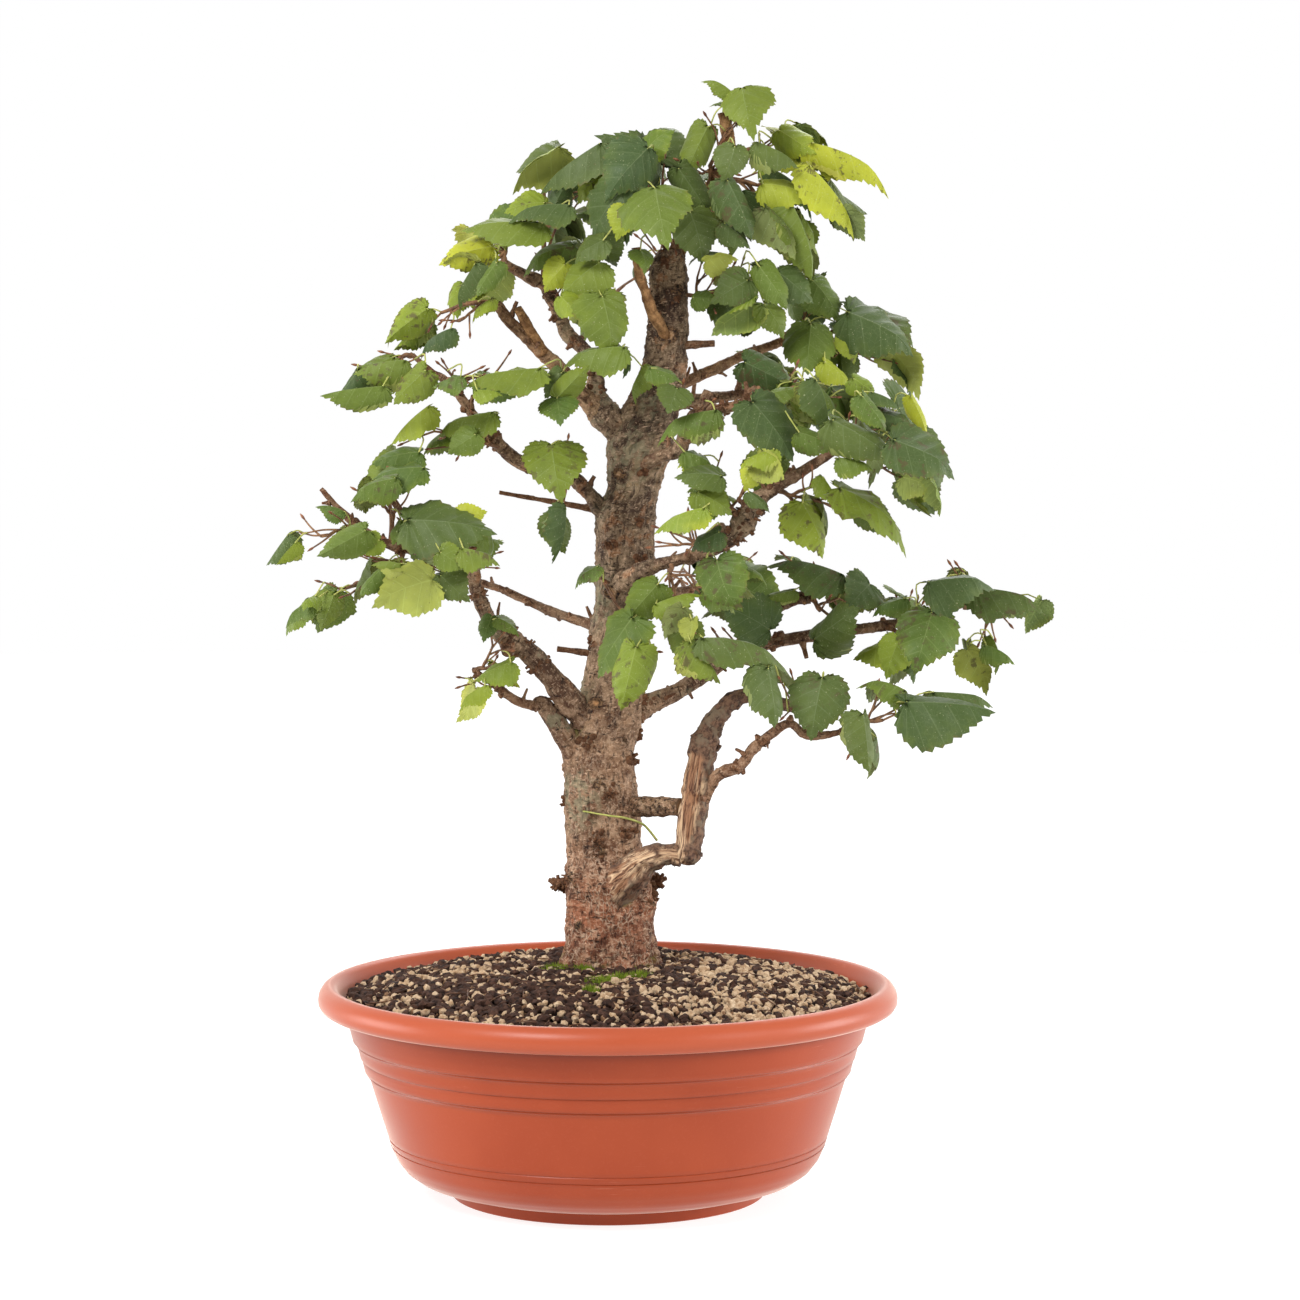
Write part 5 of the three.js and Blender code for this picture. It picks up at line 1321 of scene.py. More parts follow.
def drawn_shape(between):
    """How a blade folds, curls and droops; some are folded into a tent over their midrib."""
    low, high = TENT_FOLDS if between(0, 1) < TENTS else FOLDS
    folds = [math.radians(between(low, high)), math.radians(between(low, high))]
    return dict({name: between(*ends) * size for name, (*ends, size) in BLADE_SHAPE.items()}, folds=folds)


def draw_leaf(shoot, number, attempt, size, between):
    """A leaf at a free node of its shoot, placed as in the solids: it carries on from its petiole
    or bends away from it, mostly downwards, and may roll over."""
    reach = shoot["reach"]
    strays = between(-LEAF_STRAYS, LEAF_STRAYS) * (1 + attempt / STRAYS_TWICE)
    outwards = aim(shoot["heading"] + number * GOLDEN_ANGLE + strays, between(*LEAF_RISES))
    middle = shoot["centre"] + outwards * reach * between(*LEAF_SPREAD)
    away = np.linalg.norm(shoot["nodes"] - middle, axis=1)
    wanted = size * reach * LEAF_SHRINK**attempt
    order = np.argsort(np.abs(away - NODE_AWAY * wanted))
    node = order[min(int(between(0, NODE_CHOICES)), len(order) - 1)]
    joint = shoot["nodes"][node]
    outward = (middle - joint) / away[node]
    length = np.clip(min(wanted, NEAREST_BASE * away[node] / BLADE_MIDDLE), *LEAF_LENGTHS)
    bend = between(*BENDS) * math.acos(min(BLADE_MIDDLE * length / away[node], 1))
    hinge = unit(np.cross(outward, UP))
    hinge = turned(hinge, outward, math.radians(between(*HINGE_TURNS)))
    ahead = turned(outward, hinge, -bend)
    roll = math.radians(between(-1, 1) * (ROLLS[0] + (ROLLS[1] - ROLLS[0]) * bend))
    light = outwards * [0.5, 0.5, 0] + SUNNY_SIDE
    across = turned(unit(np.cross(light, ahead)), ahead, roll)
    leaf = dict(along=ahead, across=across, normal=np.cross(ahead, across), length=length,
                base=middle - BLADE_MIDDLE * length * ahead, joint=joint, node=node, mass=shoot["mass"])
    leaf.update(drawn_shape(between))
    gap = np.linalg.norm(joint - leaf["base"])
    behind = (leaf["base"] - joint) @ ahead / max(gap, 0.1)
    in_front = (middle - shoot["centre"])[1] < -SHOWN_SIDE * reach
    if not STALK_LENGTHS[0] < gap < STALK_LENGTHS[1] or behind < -0.5 or in_front:
        return None
    return leaf


leaves = []
leaf_touches = np.empty((0, 3))


def fits(leaf, shoot):
    """Whether a leaf keeps to its space and clear of the limbs and of the leaves that are there."""
    global leaf_touches
    touches = in_place(bent_blade(TOUCH_FLAT * [1, leaf["wide"]], leaf), leaf)
    if np.any(np.linalg.norm(touches - shoot["centre"], axis=1) > shoot["reach"]):
        return False
    if not keeps_to_its_space(touches, shoot) or not clear_of(touches, LIMB_CLEARANCE, shoot["mass"]):
        return False
    if not covered(touches):
        return False
    near = leaf_touches[np.linalg.norm(leaf_touches - touches[-3], axis=1) < NEAR_LEAVES * leaf["length"]]
    if len(near) and gaps_between(near, touches).min() < LEAF_APART:
        return False
    leaf_touches = np.vstack([leaf_touches, touches])
    return True


# Where the leaves of the photograph may be joined: places along every twig.
spots, spot_masses = [], []
for shoot in shoots:
    add_sprigs(shoot, shoot["draw"])
    for curve in [shoot["twig"]] + shoot["sprigs"]:
        spots += list(along(curve, np.linspace(*SPOT_SHARES, SPOTS)))
        spot_masses += [shoot["mass"]] * SPOTS
spots = np.array(spots)
spot_pixels = pixel_of(spots)


def posed_leaf(row, depth, tilt, shape):
    """A leaf whose notch and tip show at the row's pixels, rolled by `tilt` about its length."""
    x, y, tip_x, tip_y, wide, _, tint = row
    pixel = (depth - EYE[1]) / FOCAL
    seen, width = math.dist((x, y), (tip_x, tip_y)) * pixel, wide * pixel
    length = max(seen, min(width / LEAF_BREADTH, LONGEST_SHOWN * seen), SHORTEST_SHOWN)
    slope = math.acos(min(1, seen / length))
    base = behind_pixel(x, y, depth)
    ahead = unit(behind_pixel(tip_x, tip_y, depth - length * math.sin(slope)) - base)
    view = unit(EYE - base)
    facing = unit(view - (view @ ahead) * ahead) * (-1 if tint.endswith("_under") else 1)
    normal = turned(facing, ahead, tilt)
    bend = shape["droop"]
    along_base = math.cos(bend / 2) * ahead + math.sin(bend / 2) * normal
    normal = math.cos(bend / 2) * normal - math.sin(bend / 2) * ahead
    leaf = dict(shape, along=along_base, across=np.cross(normal, along_base), normal=normal, base=base,
                length=length * (bend / 2) / math.sin(bend / 2))
    return leaf, in_place(bent_blade(TOUCH_FLAT * [1, leaf["wide"]], leaf), leaf)


def best_fit(row, depth, shape):
    """The tilt and breadth with which a leaf shows nearest to its width in the photograph."""
    x, y, tip_x, tip_y, wide, *_ = row
    heading = unit(np.array([tip_x - x, tip_y - y], float))
    side = np.array([-heading[1], heading[0]])
    tries = []
    for breadth in WIDE_SHARES:
        for tilt in np.radians(np.arange(*SHOWN_TILTS)):
            leaf, touches = posed_leaf(row, depth, tilt, dict(shape, wide=breadth))
            miss = abs(np.ptp(pixel_of(touches) @ side) - wide)
            cost = miss - UPWARDS_FIRST * leaf["normal"][2] + NARROW_COST * (1 - breadth)
            tries.append((cost, tilt, breadth))
    return min(tries, key=lambda attempt: attempt[0])[1:]


def shown_leaf(row, between):
    """A leaf at its place in the photograph, before a near twig and pushed forward to a free place."""
    global leaf_touches
    x, y, *_, fold, tint = row
    away = np.linalg.norm(spot_pixels - [x, y], axis=1)
    near = np.argmin(np.abs(away - STALK_PIXELS) + FRONT_FIRST * spots[:, 1])
    depth = spots[near][1] - min(MOST_FORWARD, 0.25 * away[near]) - PUSH
    shape = drawn_shape(between)
    shape.update(tint=tint.removesuffix("_under"), droop=math.radians(between(8, 48)), tip=between(0, 4),
                 folds=[math.radians(fold + between(-6, 6)), math.radians(fold + between(-6, 6))],
                 curl=math.radians(between(-46, 6)), twist=math.radians(between(-16, 16)),
                 joint=spots[near], mass=spot_masses[near])
    tilt, shape["wide"] = best_fit(row, depth, shape)
    for _ in range(PUSHES):
        leaf, touches = posed_leaf(row, depth, tilt, shape)
        near_others = gaps_between(leaf_touches, touches) < SHOWN_APART
        over = gaps_between(pixel_of(leaf_touches), pixel_of(touches)) < OVERLAP_PIXELS
        behind = over & (leaf_touches[:, 1][:, None] < touches[:, 1][None] + 1)
        if not np.any(near_others) and not np.any(behind) and clear_of(touches, SHOWN_CLEARANCE):
            break
        depth -= PUSH
    leaf_touches = np.vstack([leaf_touches, touches])
    leaves.append(leaf)


shown = seeded(77)
for row in SHOWN_LEAVES:
    shown_leaf(row, shown)

shown_pixels = pixel_of(leaf_touches)
limb_balls = ball_owners <= owners.index("trunk")
limb_pixels = pixel_of(ball_points[limb_balls])
limb_widths = ball_radii[limb_balls] * FOCAL / -EYE[1] + WOOD_PIXELS


def covered(touches):
    """Whether a leaf lies in the picture behind the leaves of the photograph, so that the sky stays open,
    and not before a limb, so that the wood stays in sight."""
    pixels = pixel_of(touches)
    if np.any(gaps_between(pixels, shown_pixels).min(axis=1) > SKY_PIXELS):
        return False
    over = gaps_between(pixels, limb_pixels) < limb_widths
    return not np.any(over & (touches[:, 1][:, None] < ball_points[limb_balls][:, 1]))


for shoot in shoots:
    between = shoot["draw"]
    for place in range(round(shoot["leaves"] * LEAVES_MORE)):
        size = between(*LEAF_SIZES)
        for attempt in range(LEAF_TRIES):
            if len(shoot["nodes"]) < 2:
                break
            leaf = draw_leaf(shoot, place, attempt, size, between)
            if leaf and fits(leaf, shoot):
                mix = TINT_MIXES[shoot["tint"]]
                leaf["tint"] = mix[int(between(0, len(mix) - 0.01))]
                leaves.append(leaf)
                shoot["nodes"] = np.delete(shoot["nodes"], leaf["node"], axis=0)
                break


def flat_leaf():
    """The flat blade: rows that follow the side veins of each half, from the midrib to the margin."""
    share = np.linspace(0, 1, LEAF_ROWS)
    rim = along([point + [0] for point in LEAF_HALF], share)[:, :2]
    facing = np.gradient(rim, axis=0)
    outside = np.stack([-facing[:, 1], facing[:, 0]], axis=1)
    size = np.linalg.norm(facing, axis=1)[:, None]
    teeth = (np.where(np.arange(LEAF_ROWS) % 2, 1, -0.5) * TEETH)[:, None]
    teeth[[0, -1]] = 0
    lobes = LOBES * np.cos(TURN * (np.arange(LEAF_ROWS) / VEIN_ROWS - 0.5))[:, None]
    lobes[[0, -1]] = 0
    rim = rim + (teeth * (outside + 0.7 * facing) + lobes * outside) / size
    rib = np.clip(rim[:, 0] - VEIN_LAG * np.abs(rim[:, 1]), 0, 1)
    out = np.linspace(0, 1, LEAF_COLUMNS + 1)
    middle = np.stack([rib, np.zeros(LEAF_ROWS)], axis=1)
    half = middle[:, None] + (rim - middle)[:, None] * out[None, :, None]
    row = np.arange(LEAF_ROWS) / VEIN_ROWS
    pucker = QUILT * np.cos(TURN * row)[:, None] * np.sin(math.pi * out)[None] ** 0.7
    rows, outs = np.broadcast_arrays(row[:, None] + 0.5, out)
    return half, -pucker, np.stack([rows, outs], axis=-1)


def add_leaf(soup, leaf, half, pucker, blade):
    """One leaf: two halves of a thin blade with an upper side and an underside."""
    rows, columns = pucker.shape
    quads = grid_faces(rows, columns, closed=False)
    upper = np.vstack([quads[:, [0, 1, 2]], quads[:, [0, 2, 3]]])
    thin = LEAF_THICKNESS * np.broadcast_to(1 - np.linspace(0, 1, columns) ** 2, pucker.shape)
    values = np.insert(blade.reshape(-1, 2), 2, leaf["shade"], axis=1)
    for sign in (1, -1):
        flat = half * [1, sign * leaf["wide"] * (1 + sign * leaf["uneven"])]
        bent = bent_blade(flat + [0, sign * OFF_MIDRIB], leaf)
        for side in (1, -1):
            local = bent.copy()
            local[..., 2] += pucker + side * thin / 2
            points = in_place(local.reshape(-1, 3), leaf)
            tris = upper if sign * side > 0 else upper[:, ::-1]
            soup.add(points, tris=tris, look=0 if side > 0 else 1, blade=values)


def leaf_pieces():
    """The leaves, one piece for each tint."""
    half, pucker, blade = flat_leaf()
    for tint, (upper, under) in TINTS.items():
        soup = Soup()
        own = [leaf for leaf in leaves if leaf["tint"] == tint]
        for leaf in own:
            add_leaf(soup, leaf, half, pucker, blade)
        looks = [
            leaf_look(f"leaf_{tint}_upper", upper, toned(upper, 0.8, 48), 0.8, 0.55, 0.3),
            leaf_look(f"leaf_{tint}_under", under, toned(under, 1.1, 12), 0.75, 0.62, 0.5),
        ]
        piece = soup.build(f"leaves_{tint}", "foliage", looks)
        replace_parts(piece, *sorted({leaf["mass"] for leaf in own}))


def add_stalk(soup, leaf):
    """A leaf's stalk, which bows upwards."""
    joint, base, ahead = leaf["joint"], leaf["base"], leaf["along"]
    span = np.linalg.norm(base - joint)
    bend = (joint + base) / 2 + UP * span * STALK_LIFT - ahead * span * STALK_LAG
    tube(soup, [joint, bend, base + ahead * STALK_LAP], STALK_RADIUS, 5, 6)


def add_twigs(wood, buds, shoot, seed):
    """A shoot's twig, which wanders a little, and its sprigs with buds at their tips."""
    wander = seeded(seed)
    points = spaced(shoot["twig"], 6)
    for point in points[1:5]:
        point += np.array([wander(*TWIG_WANDER) for _ in range(3)])
    tube(wood, points, shoot["radii"], TWIG_SIDES, 18)
    for curve in shoot["sprigs"]:
        tube(wood, curve, SPRIG_RADIUS, TWIG_SIDES, 8)
        tip = along(curve, 1.0)
        ahead = unit(tip - along(curve, 0.9))
        tube(buds, [tip + ahead * away for away in BUD_PLACES], BUD_RADIUS, 6, 5)


def stalks_and_twigs():
    """Leaf stalks and the shoots over the trunk, and the twigs and buds."""
    stalks, wood, buds = Soup(), Soup(), Soup()
    for leaf in leaves:
        add_stalk(stalks, leaf)
    for number, shoot in enumerate(shoots):
        add_twigs(wood, buds, shoot, TWIG_SEED + number)
    for places in SUCKERS:
        trail = np.array([on_trunk(x, y) - [0, away, 0] for x, y, away in places])
        tube(stalks, trail, SUCKER_RADIUS, 7, 24)
    pieces = [
        stalks.build("leaf_stalks", "foliage", [twig_look("stalk", [150, 158, 76], [184, 182, 104])]),
        wood.build("twigs", "bark", [twig_look("twig_bark", [88, 60, 43], [144, 106, 74])]),
    ]
    buds.build("buds", "bark", [twig_look("bud", [92, 54, 38], [142, 92, 62])])
    for piece in pieces:
        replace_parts(piece, *MASSES)


# ------------------------------------------------------------------ bark

# Thin green shoots that lie over the trunk: pixel places and distance from the bark.
SUCKERS = [[[657, 840, 2], [648, 828, 6], [641, 822, 7], [625, 817, 5], [610, 815, 5], [583, 810, 7]]]
SUCKER_RADIUS = [0.9, 0.8, 0.5]
# Knots and scars: pixel place on the front of the trunk, radius, and how pale its middle is.
KNOTS = [
    [600, 850, 5.5, 0], [628, 835, 5, 0], [600, 785, 6, 0], [590, 740, 5.5, 0], [598, 703, 5.5, 1],
    [668, 335, 7, 0.5], [613, 592, 6, 0.4], [621, 474, 5, 0.4], [575, 878, 6, 0], [645, 905, 5, 0],
    [594, 812, 4, 0], [622, 742, 4, 0], [580, 925, 4, 0], [676, 290, 5, 0],
]
# Moss and lichen on the trunk: pixel place and radius.
MOSS = [[578, 725, 11], [570, 742, 8], [563, 958, 8], [648, 960, 6], [652, 712, 6], [625, 900, 5]]
LICHEN = [[600, 600, 22], [625, 457, 24], [583, 695, 16], [575, 800, 22], [590, 500, 18], [655, 400, 14]]
MOSS_HEIGHT = 3.5  # how fast the moss at the foot of the trunk thins out upwards
BARK_LUMPS = [[0.055, 15, 3], [0.03, 6, 5]]  # [share of the radius, size, seed]
# Burrs on the trunk: pixel place of the middle and radius.
BURRS = [
    [564, 878, 8], [659, 876, 8], [607, 792, 9], [596, 836, 7], [626, 832, 6], [633, 760, 6], [588, 742, 7],
    [648, 894, 6], [600, 852, 6], [541, 800, 4], [660, 735, 5], [652, 700, 6], [590, 640, 5], [640, 560, 5],
    [612, 545, 5], [645, 470, 5], [676, 300, 4], [664, 262, 4], [640, 520, 4],
]
SPUR_SPACING = 11
BARE_SIDE = np.array([-0.75, -0.66, 0.05])  # the side on which the dead limb is stripped
BARK_ABOVE = [300, 312]  # the heights between which its bark closes again
BARK_BELOW = 246
CRUMBLY_BELOW = 220  # stubs of the trunk that start below this height end in crumbs
CRUMBS = 26
TRUNK_SIDES = 144
TRUNK_RINGS = 560
BOUGH_RING = 1.3  # spacing of a bough's rings
DEADWOOD_SIDES = 48
BOUGH_SIDES = [24, 32]  # of a thin bough and of a thick one
THICK_BOUGH = 5
STUB_SIDES = 20
CRUMB_SIDES = 8
FOOT_SWELL = 0.35
KNUCKLES = 0.13
DEADWOOD_DOME = 10  # how far the foot of the upright dead limb is rounded
STUB_SEED = 40
CRUMB_SEED = 60
SPUR_SEED = 300
BURR_SEED = 900
BOUGH_BURR_SEED = 1300


def on_trunk(x, y):
    """The point on the trunk's front that a pixel of the photograph shows."""
    depth = 20.0
    for _ in range(6):
        point = behind_pixel(x, y, depth)
        centre = along(trunk_path, trunk_share(point[2]))
        radius = np.interp(point[2], trunk_heights, trunk_radii)
        offset = np.clip(point[0] - centre[0], -0.97 * radius, 0.97 * radius)
        depth = centre[1] - math.sqrt(radius * radius - offset * offset)
    return behind_pixel(x, y, depth)


def bark_relief(grain, radius):
    """How far the bark stands out, from its place round and along the limb."""
    thick = np.minimum(1, (radius / 11) ** 0.7)
    relief = sum(share * radius * noise(grain, size, seed) for share, size, seed in BARK_LUMPS)
    dashes = noise(grain * [0.5, 0.5, 1.6], 3.0, 11)
    streaks = noise(grain * [1, 1, 0.25], 2.4, 19)
    fine = 1.5 * np.maximum(0, dashes - 0.2) + 0.7 * streaks + 0.5 * noise(grain, 1.8, 23)
    return relief + thick * fine


def marks(points, spots):
    """How strongly each point lies in one of the spots on the trunk, [x, y, radius]."""
    total = np.zeros(len(points))
    for x, y, radius in spots:
        away = np.linalg.norm(points - on_trunk(x, y), axis=1) / radius
        total = np.maximum(total, np.exp(-away**4))
    return total


def knotted(flat):
    """The trunk's knots: how far they stand out, and how strongly each point is knot or pale middle."""
    stand, knot, cut = np.zeros(len(flat)), np.zeros(len(flat)), np.zeros(len(flat))
    for x, y, size, pale in KNOTS:
        away = np.linalg.norm((flat - on_trunk(x, y)) * [1, 1, 1.15], axis=1) / size
        ragged = away * (1 + 0.35 * noise(flat, 4, 41))
        if pale:
            stand += 2.4 * np.exp(-(((away - 0.8) / 0.3) ** 2)) + 0.8 * np.exp(-((away / 0.5) ** 4))
            knot = np.maximum(knot, np.exp(-(((away - 0.75) / 0.25) ** 2)))
            cut = np.maximum(cut, pale * np.exp(-((away / 0.5) ** 6)))
        else:
            stand += np.exp(-(ragged**2)) * (2.6 + 2.6 * noise(flat, 2.2, 43))
            knot = np.maximum(knot, np.exp(-(ragged**4)) * (0.6 + 0.6 * noise(flat, 2.6, 47)))
    return stand, knot, cut


def add_trunk(soup):
    """The trunk from the soil to the cut top, its rings level, with bark relief, knots, moss and lichen."""
    share = np.linspace(0, 1, TRUNK_RINGS)
    centres = along(trunk_path, share)
    angle = np.arange(TRUNK_SIDES) * TURN / TRUNK_SIDES
    height = np.broadcast_to(centres[:, 2:3], (TRUNK_RINGS, TRUNK_SIDES))
    turn = np.broadcast_to(angle, height.shape)
    radius = trunk_radius(height, turn)
    grain = np.stack([radius * np.cos(turn), radius * np.sin(turn), height], axis=-1)
    relief = bark_relief(grain, radius)
    facing = np.stack([np.cos(turn), np.sin(turn), 0 * turn], axis=-1)
    surface = centres[:, None] + facing * radius[..., None]
    flat = surface.reshape(-1, 3)
    stand, knot, cut = knotted(flat)
    relief = relief.reshape(-1) + stand
    flat = flat + facing.reshape(-1, 3) * relief[:, None]
    flat[-TRUNK_SIDES:, 2] -= 0.6
    ends = np.array([centres[0], centres[-1]])
    points = np.vstack([flat, ends])
    at_foot = np.exp(-np.maximum(points[:, 2] - GROUND, 0) / MOSS_HEIGHT) * (noise(points, 14, 7) > 0.1)
    nothing = np.zeros(len(points))
    soup.add(points, grid_faces(TRUNK_RINGS, TRUNK_SIDES), close_ends(TRUNK_RINGS, TRUNK_SIDES),
             grain=np.vstack([grain.reshape(-1, 3), ends]), moss=np.maximum(marks(points, MOSS), at_foot),
             lichen=marks(points, LICHEN), knot=np.append(knot, [0, 0]), cut=np.append(cut, [0, 1]),
             old=nothing, young=nothing)


def add_limb(soup, path, radii, sides, seed, lichen=0.0, old=0.0, strip=None, cut=1.0, dome=0, knot=0.0,
             bark=None):
    """A bough or stub with bark relief, a swollen foot and a cut or rounded end."""
    length = length_of(path)
    rings = max(6, round(length / BOUGH_RING))
    share = np.linspace(0, 1, rings)
    centres = along(path, share)
    run = share * length
    line = np.stack([run, run * 0, run * 0], axis=-1)
    plain = spread(radii, share)
    plain = plain * (1 + FOOT_SWELL * np.exp(-run / (1.4 * plain[0])) + KNUCKLES * noise(line, 8, seed + 60))
    if dome:
        plain = plain * np.sqrt(1 - np.clip(1 - (run + 0.4) / dome, 0, 1) ** 2)
    turn = np.broadcast_to(np.arange(sides) * TURN / sides, (rings, sides))
    radius = np.broadcast_to(plain[:, None], turn.shape)
    spot = np.broadcast_to(run[:, None], turn.shape) + seed * 97.0
    grain = np.stack([radius * np.cos(turn), radius * np.sin(turn), spot], axis=-1)
    facing = facings(centres, sides)
    wrinkles = np.sin(run / 1.1 + 2 * noise(line, 4, seed))
    relief = bark_relief(grain, radius) + (0.35 * wrinkles * np.exp(-run / (2.2 * plain[0])))[:, None]
    values = {} if bark is None else {"bark": np.full(rings * sides + 2, bark)}
    if strip:
        bark, relief = strip(facing, grain, relief, centres)
        values["bark"] = np.concatenate([bark.reshape(-1), [1, 1]])
    flat = (centres[:, None] + facing * (radius + relief)[..., None]).reshape(-1, 3)
    points = np.vstack([flat, centres[0], centres[-1]])
    count = len(points)
    patch = (noise(points, 13, seed + 3) > 0.15) * lichen
    girths = spread(radii, np.append(np.repeat(share, sides), [0, 1]))
    young = np.clip(1.3 - girths / 4.5, 0, 1)
    soup.add(points, grid_faces(rings, sides), close_ends(rings, sides),
             grain=np.vstack([grain.reshape(-1, 3), np.zeros((2, 3))]), moss=np.zeros(count), lichen=patch,
             knot=np.full(count, knot), cut=np.append(np.zeros(count - 1), cut), old=np.full(count, old),
             young=young, **values)


def stripped(facing, grain, relief, centres):
    """Deadwood: bare wood towards the front left, with furrows along it, and bark on the rest."""
    front = facing @ unit(BARE_SIDE)
    above = np.clip((centres[:, 2] - BARK_ABOVE[0]) / (BARK_ABOVE[1] - BARK_ABOVE[0]), 0, 1)[:, None]
    arm = 0.3 * np.clip((BARK_BELOW - centres[:, 2]) / 10, 0, 1)[:, None]
    edge = 0.3 * noise(grain, 9, 31) + 0.25 * noise(grain, 3, 33)
    bark = np.clip((edge - front + 0.42 + arm + 2 * above) * 7, 0, 1)
    furrows = noise(grain * [1, 1, 0.1], 2.4, 29)
    bare = 1.5 * furrows - 1.2
    shaggy = relief + 0.9 * noise(grain * [1, 1, 0.4], 2.6, 37) + 0.6
    return bark, bark * shaggy + (1 - bark) * bare


def add_crumb(soup, start, tip, radii, seed, **how):
    """A tiny old shoot, without a cut end."""
    add_limb(soup, np.array([start, tip]), radii, CRUMB_SIDES, seed, cut=0.0, **how)


def add_crumbs(soup, start, end, radius, number):
    """Tiny old shoots all round the end of a stub."""
    draw = seeded(CRUMB_SEED + number)
    for crumb in range(CRUMBS):
        spot = start + (end - start) * draw(0.78, 1.02)
        way = unit(aim(draw(0, 360), draw(-80, 80)) + 0.4 * unit(end - start))
        thick, long = draw(1, 2.4), radius + draw(1, 5)
        radii = [thick, thick * draw(0.5, 0.9)]
        add_crumb(soup, spot, spot + way * long, radii, 80 * number + crumb, knot=0.8)


def add_stubs(soup, host, **how):
    """A limb's snags, burrs and pruned ends; the trunk's lowest are crumbly."""
    for number, (owner, at, path, radii) in enumerate(stubs):
        if owner == host:
            add_limb(soup, path, radii, STUB_SIDES, STUB_SEED + number, **how)
        if owner == host == "trunk" and at < CRUMBLY_BELOW:
            add_crumbs(soup, *path, radii[1], number)


def add_spurs(soup, path, radii, seed, lichen):
    """Short pruned spurs and snags that stand out of a bough."""
    draw = seeded(seed)
    length = length_of(path)
    place = draw(4, SPUR_SPACING)
    while place < length - 3:
        share = place / length
        centre, girth = along(path, share), float(spread(radii, share))
        ahead = unit(along(path, min(1, share + 0.02)) - along(path, share - 0.02))
        out = unit(np.cross(ahead, aim(draw(0, 360), draw(-80, 80))))
        way = unit(out + ahead * draw(-0.1, 0.9) + 0.25 * UP)
        size = draw(1.5, 4.2) if draw(0, 1) < 0.66 else draw(5, 14)
        thick = min(draw(0.9, 1.9), 0.55 * girth + 0.3)
        start = centre + out * girth * 0.7
        bend = start + way * size * 0.6 + out * draw(-0.3, 0.5)
        end = centre + out * girth + way * size
        spur_radii = [thick * 1.2, thick, thick * draw(0.6, 1)]
        add_limb(soup, np.array([start, bend, end]), spur_radii, CRUMB_SIDES, seed + round(place), lichen,
                 cut=float(draw(0, 1) < 0.3))
        place += draw(2, 2 * SPUR_SPACING)


def add_burr(soup, x, y, size, seed):
    """A crumbly cluster of tiny old shoots on the trunk, by the pixel of its middle."""
    draw = seeded(seed)
    for number in range(round(1.6 * size)):
        spot = on_trunk(x + draw(-1, 1) * size, y + draw(-1, 1) * size * 0.8)
        centre = along(trunk_path, trunk_share(spot[2]))
        out = unit(spot - centre)
        spot = centre + out * trunk_radius(spot[2], math.atan2(out[1], out[0]))
        way = unit(out + 0.7 * aim(draw(0, 360), draw(-90, 90)))
        thick, long = draw(0.8, 2.1), draw(1.6, 4.4)
        radii = [thick, thick * draw(0.4, 0.9)]
        add_crumb(soup, spot - out * 2, spot + way * long, radii, seed + number, knot=0.85)


# Burrs on boughs: pixel place and radius.
BOUGH_BURRS = {
    "bough_middle_right": [[734, 512, 11], [722, 524, 8], [745, 500, 7]],
    "bough_low_left": [[503, 645, 10], [516, 657, 7], [532, 668, 7], [470, 596, 5]],
    "bough_lowest_left": [[510, 680, 5]],
    "bough_far_left": [[340, 545, 5], [400, 556, 5]],
    "bough_low_right": [[768, 598, 6], [840, 610, 5]],
    "bough_fork_left": [[573, 395, 6], [560, 360, 5], [545, 322, 5]],
    "bough_middle_left": [[455, 480, 4], [420, 440, 4]],
    "bough_short_right": [[725, 410, 6], [752, 398, 5]],
    "bough_upper_right": [[790, 345, 5]],
    "deadwood_upright": [[690, 738, 7], [712, 730, 5], [704, 806, 6], [684, 852, 5]],
    "bough_low_thin": [[745, 780, 5], [772, 752, 4]],
}


def add_bough_burrs(soup, name, seed):
    """Crumbly clusters round a bough, at the pixels of their middles."""
    path, radii = limbs[name]
    dead = name.startswith("deadwood")
    extra = {"bark": 1.0} if dead else {}
    places = np.linspace(0, 1, 200)
    pixels, length = pixel_of(along(path, places)), length_of(path)
    for x, y, size in BOUGH_BURRS.get(name, []):
        draw = seeded(seed + x)
        middle = places[np.argmin(np.linalg.norm(pixels - [x, y], axis=1))]
        for number in range(round(2.2 * size)):
            share = float(np.clip(middle + draw(-0.5, 0.5) * size / length, 0.02, 1))
            centre, girth = along(path, share), float(spread(radii, share))
            ahead = unit(along(path, share) - along(path, share - 0.02))
            out = unit(np.cross(ahead, aim(draw(0, 360), draw(-80, 80))))
            if dead and out @ BARE_SIDE > 0:
                out = -out
            way = unit(out + 0.6 * aim(draw(0, 360), draw(-90, 90)))
            thick, long = draw(0.9, 2.3), draw(1.2, 4.2)
            crumb_radii = [thick, thick * draw(0.4, 0.9)]
            add_crumb(soup, centre + out * girth * 0.6, centre + out * girth + way * long, crumb_radii,
                      seed + number, lichen=0.5, knot=0.45, **extra)


# How much lichen a bough has, and how far its bark is tan.
PLAIN_LICHEN = 0.25
LICHEN_BOUGHS = {"bough_low_left": 1, "bough_lowest_left": 1, "bough_low_right": 0.6, "bough_fork_left": 0.6}
TAN_BOUGHS = {"bough_leader_front": 1, "bough_top": 0.9, "bough_crown_left": 0.35, "bough_upper_right": 0.35}


def trunk_piece(look):
    """The trunk with its stubs and burrs."""
    soup = Soup()
    add_trunk(soup)
    add_stubs(soup, "trunk", lichen=0.3, knot=0.42)
    for number, (x, y, size) in enumerate(BURRS):
        add_burr(soup, x, y, size, BURR_SEED + 40 * number)
    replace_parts(soup.build("trunk_bark", "bark", [look]), "trunk")


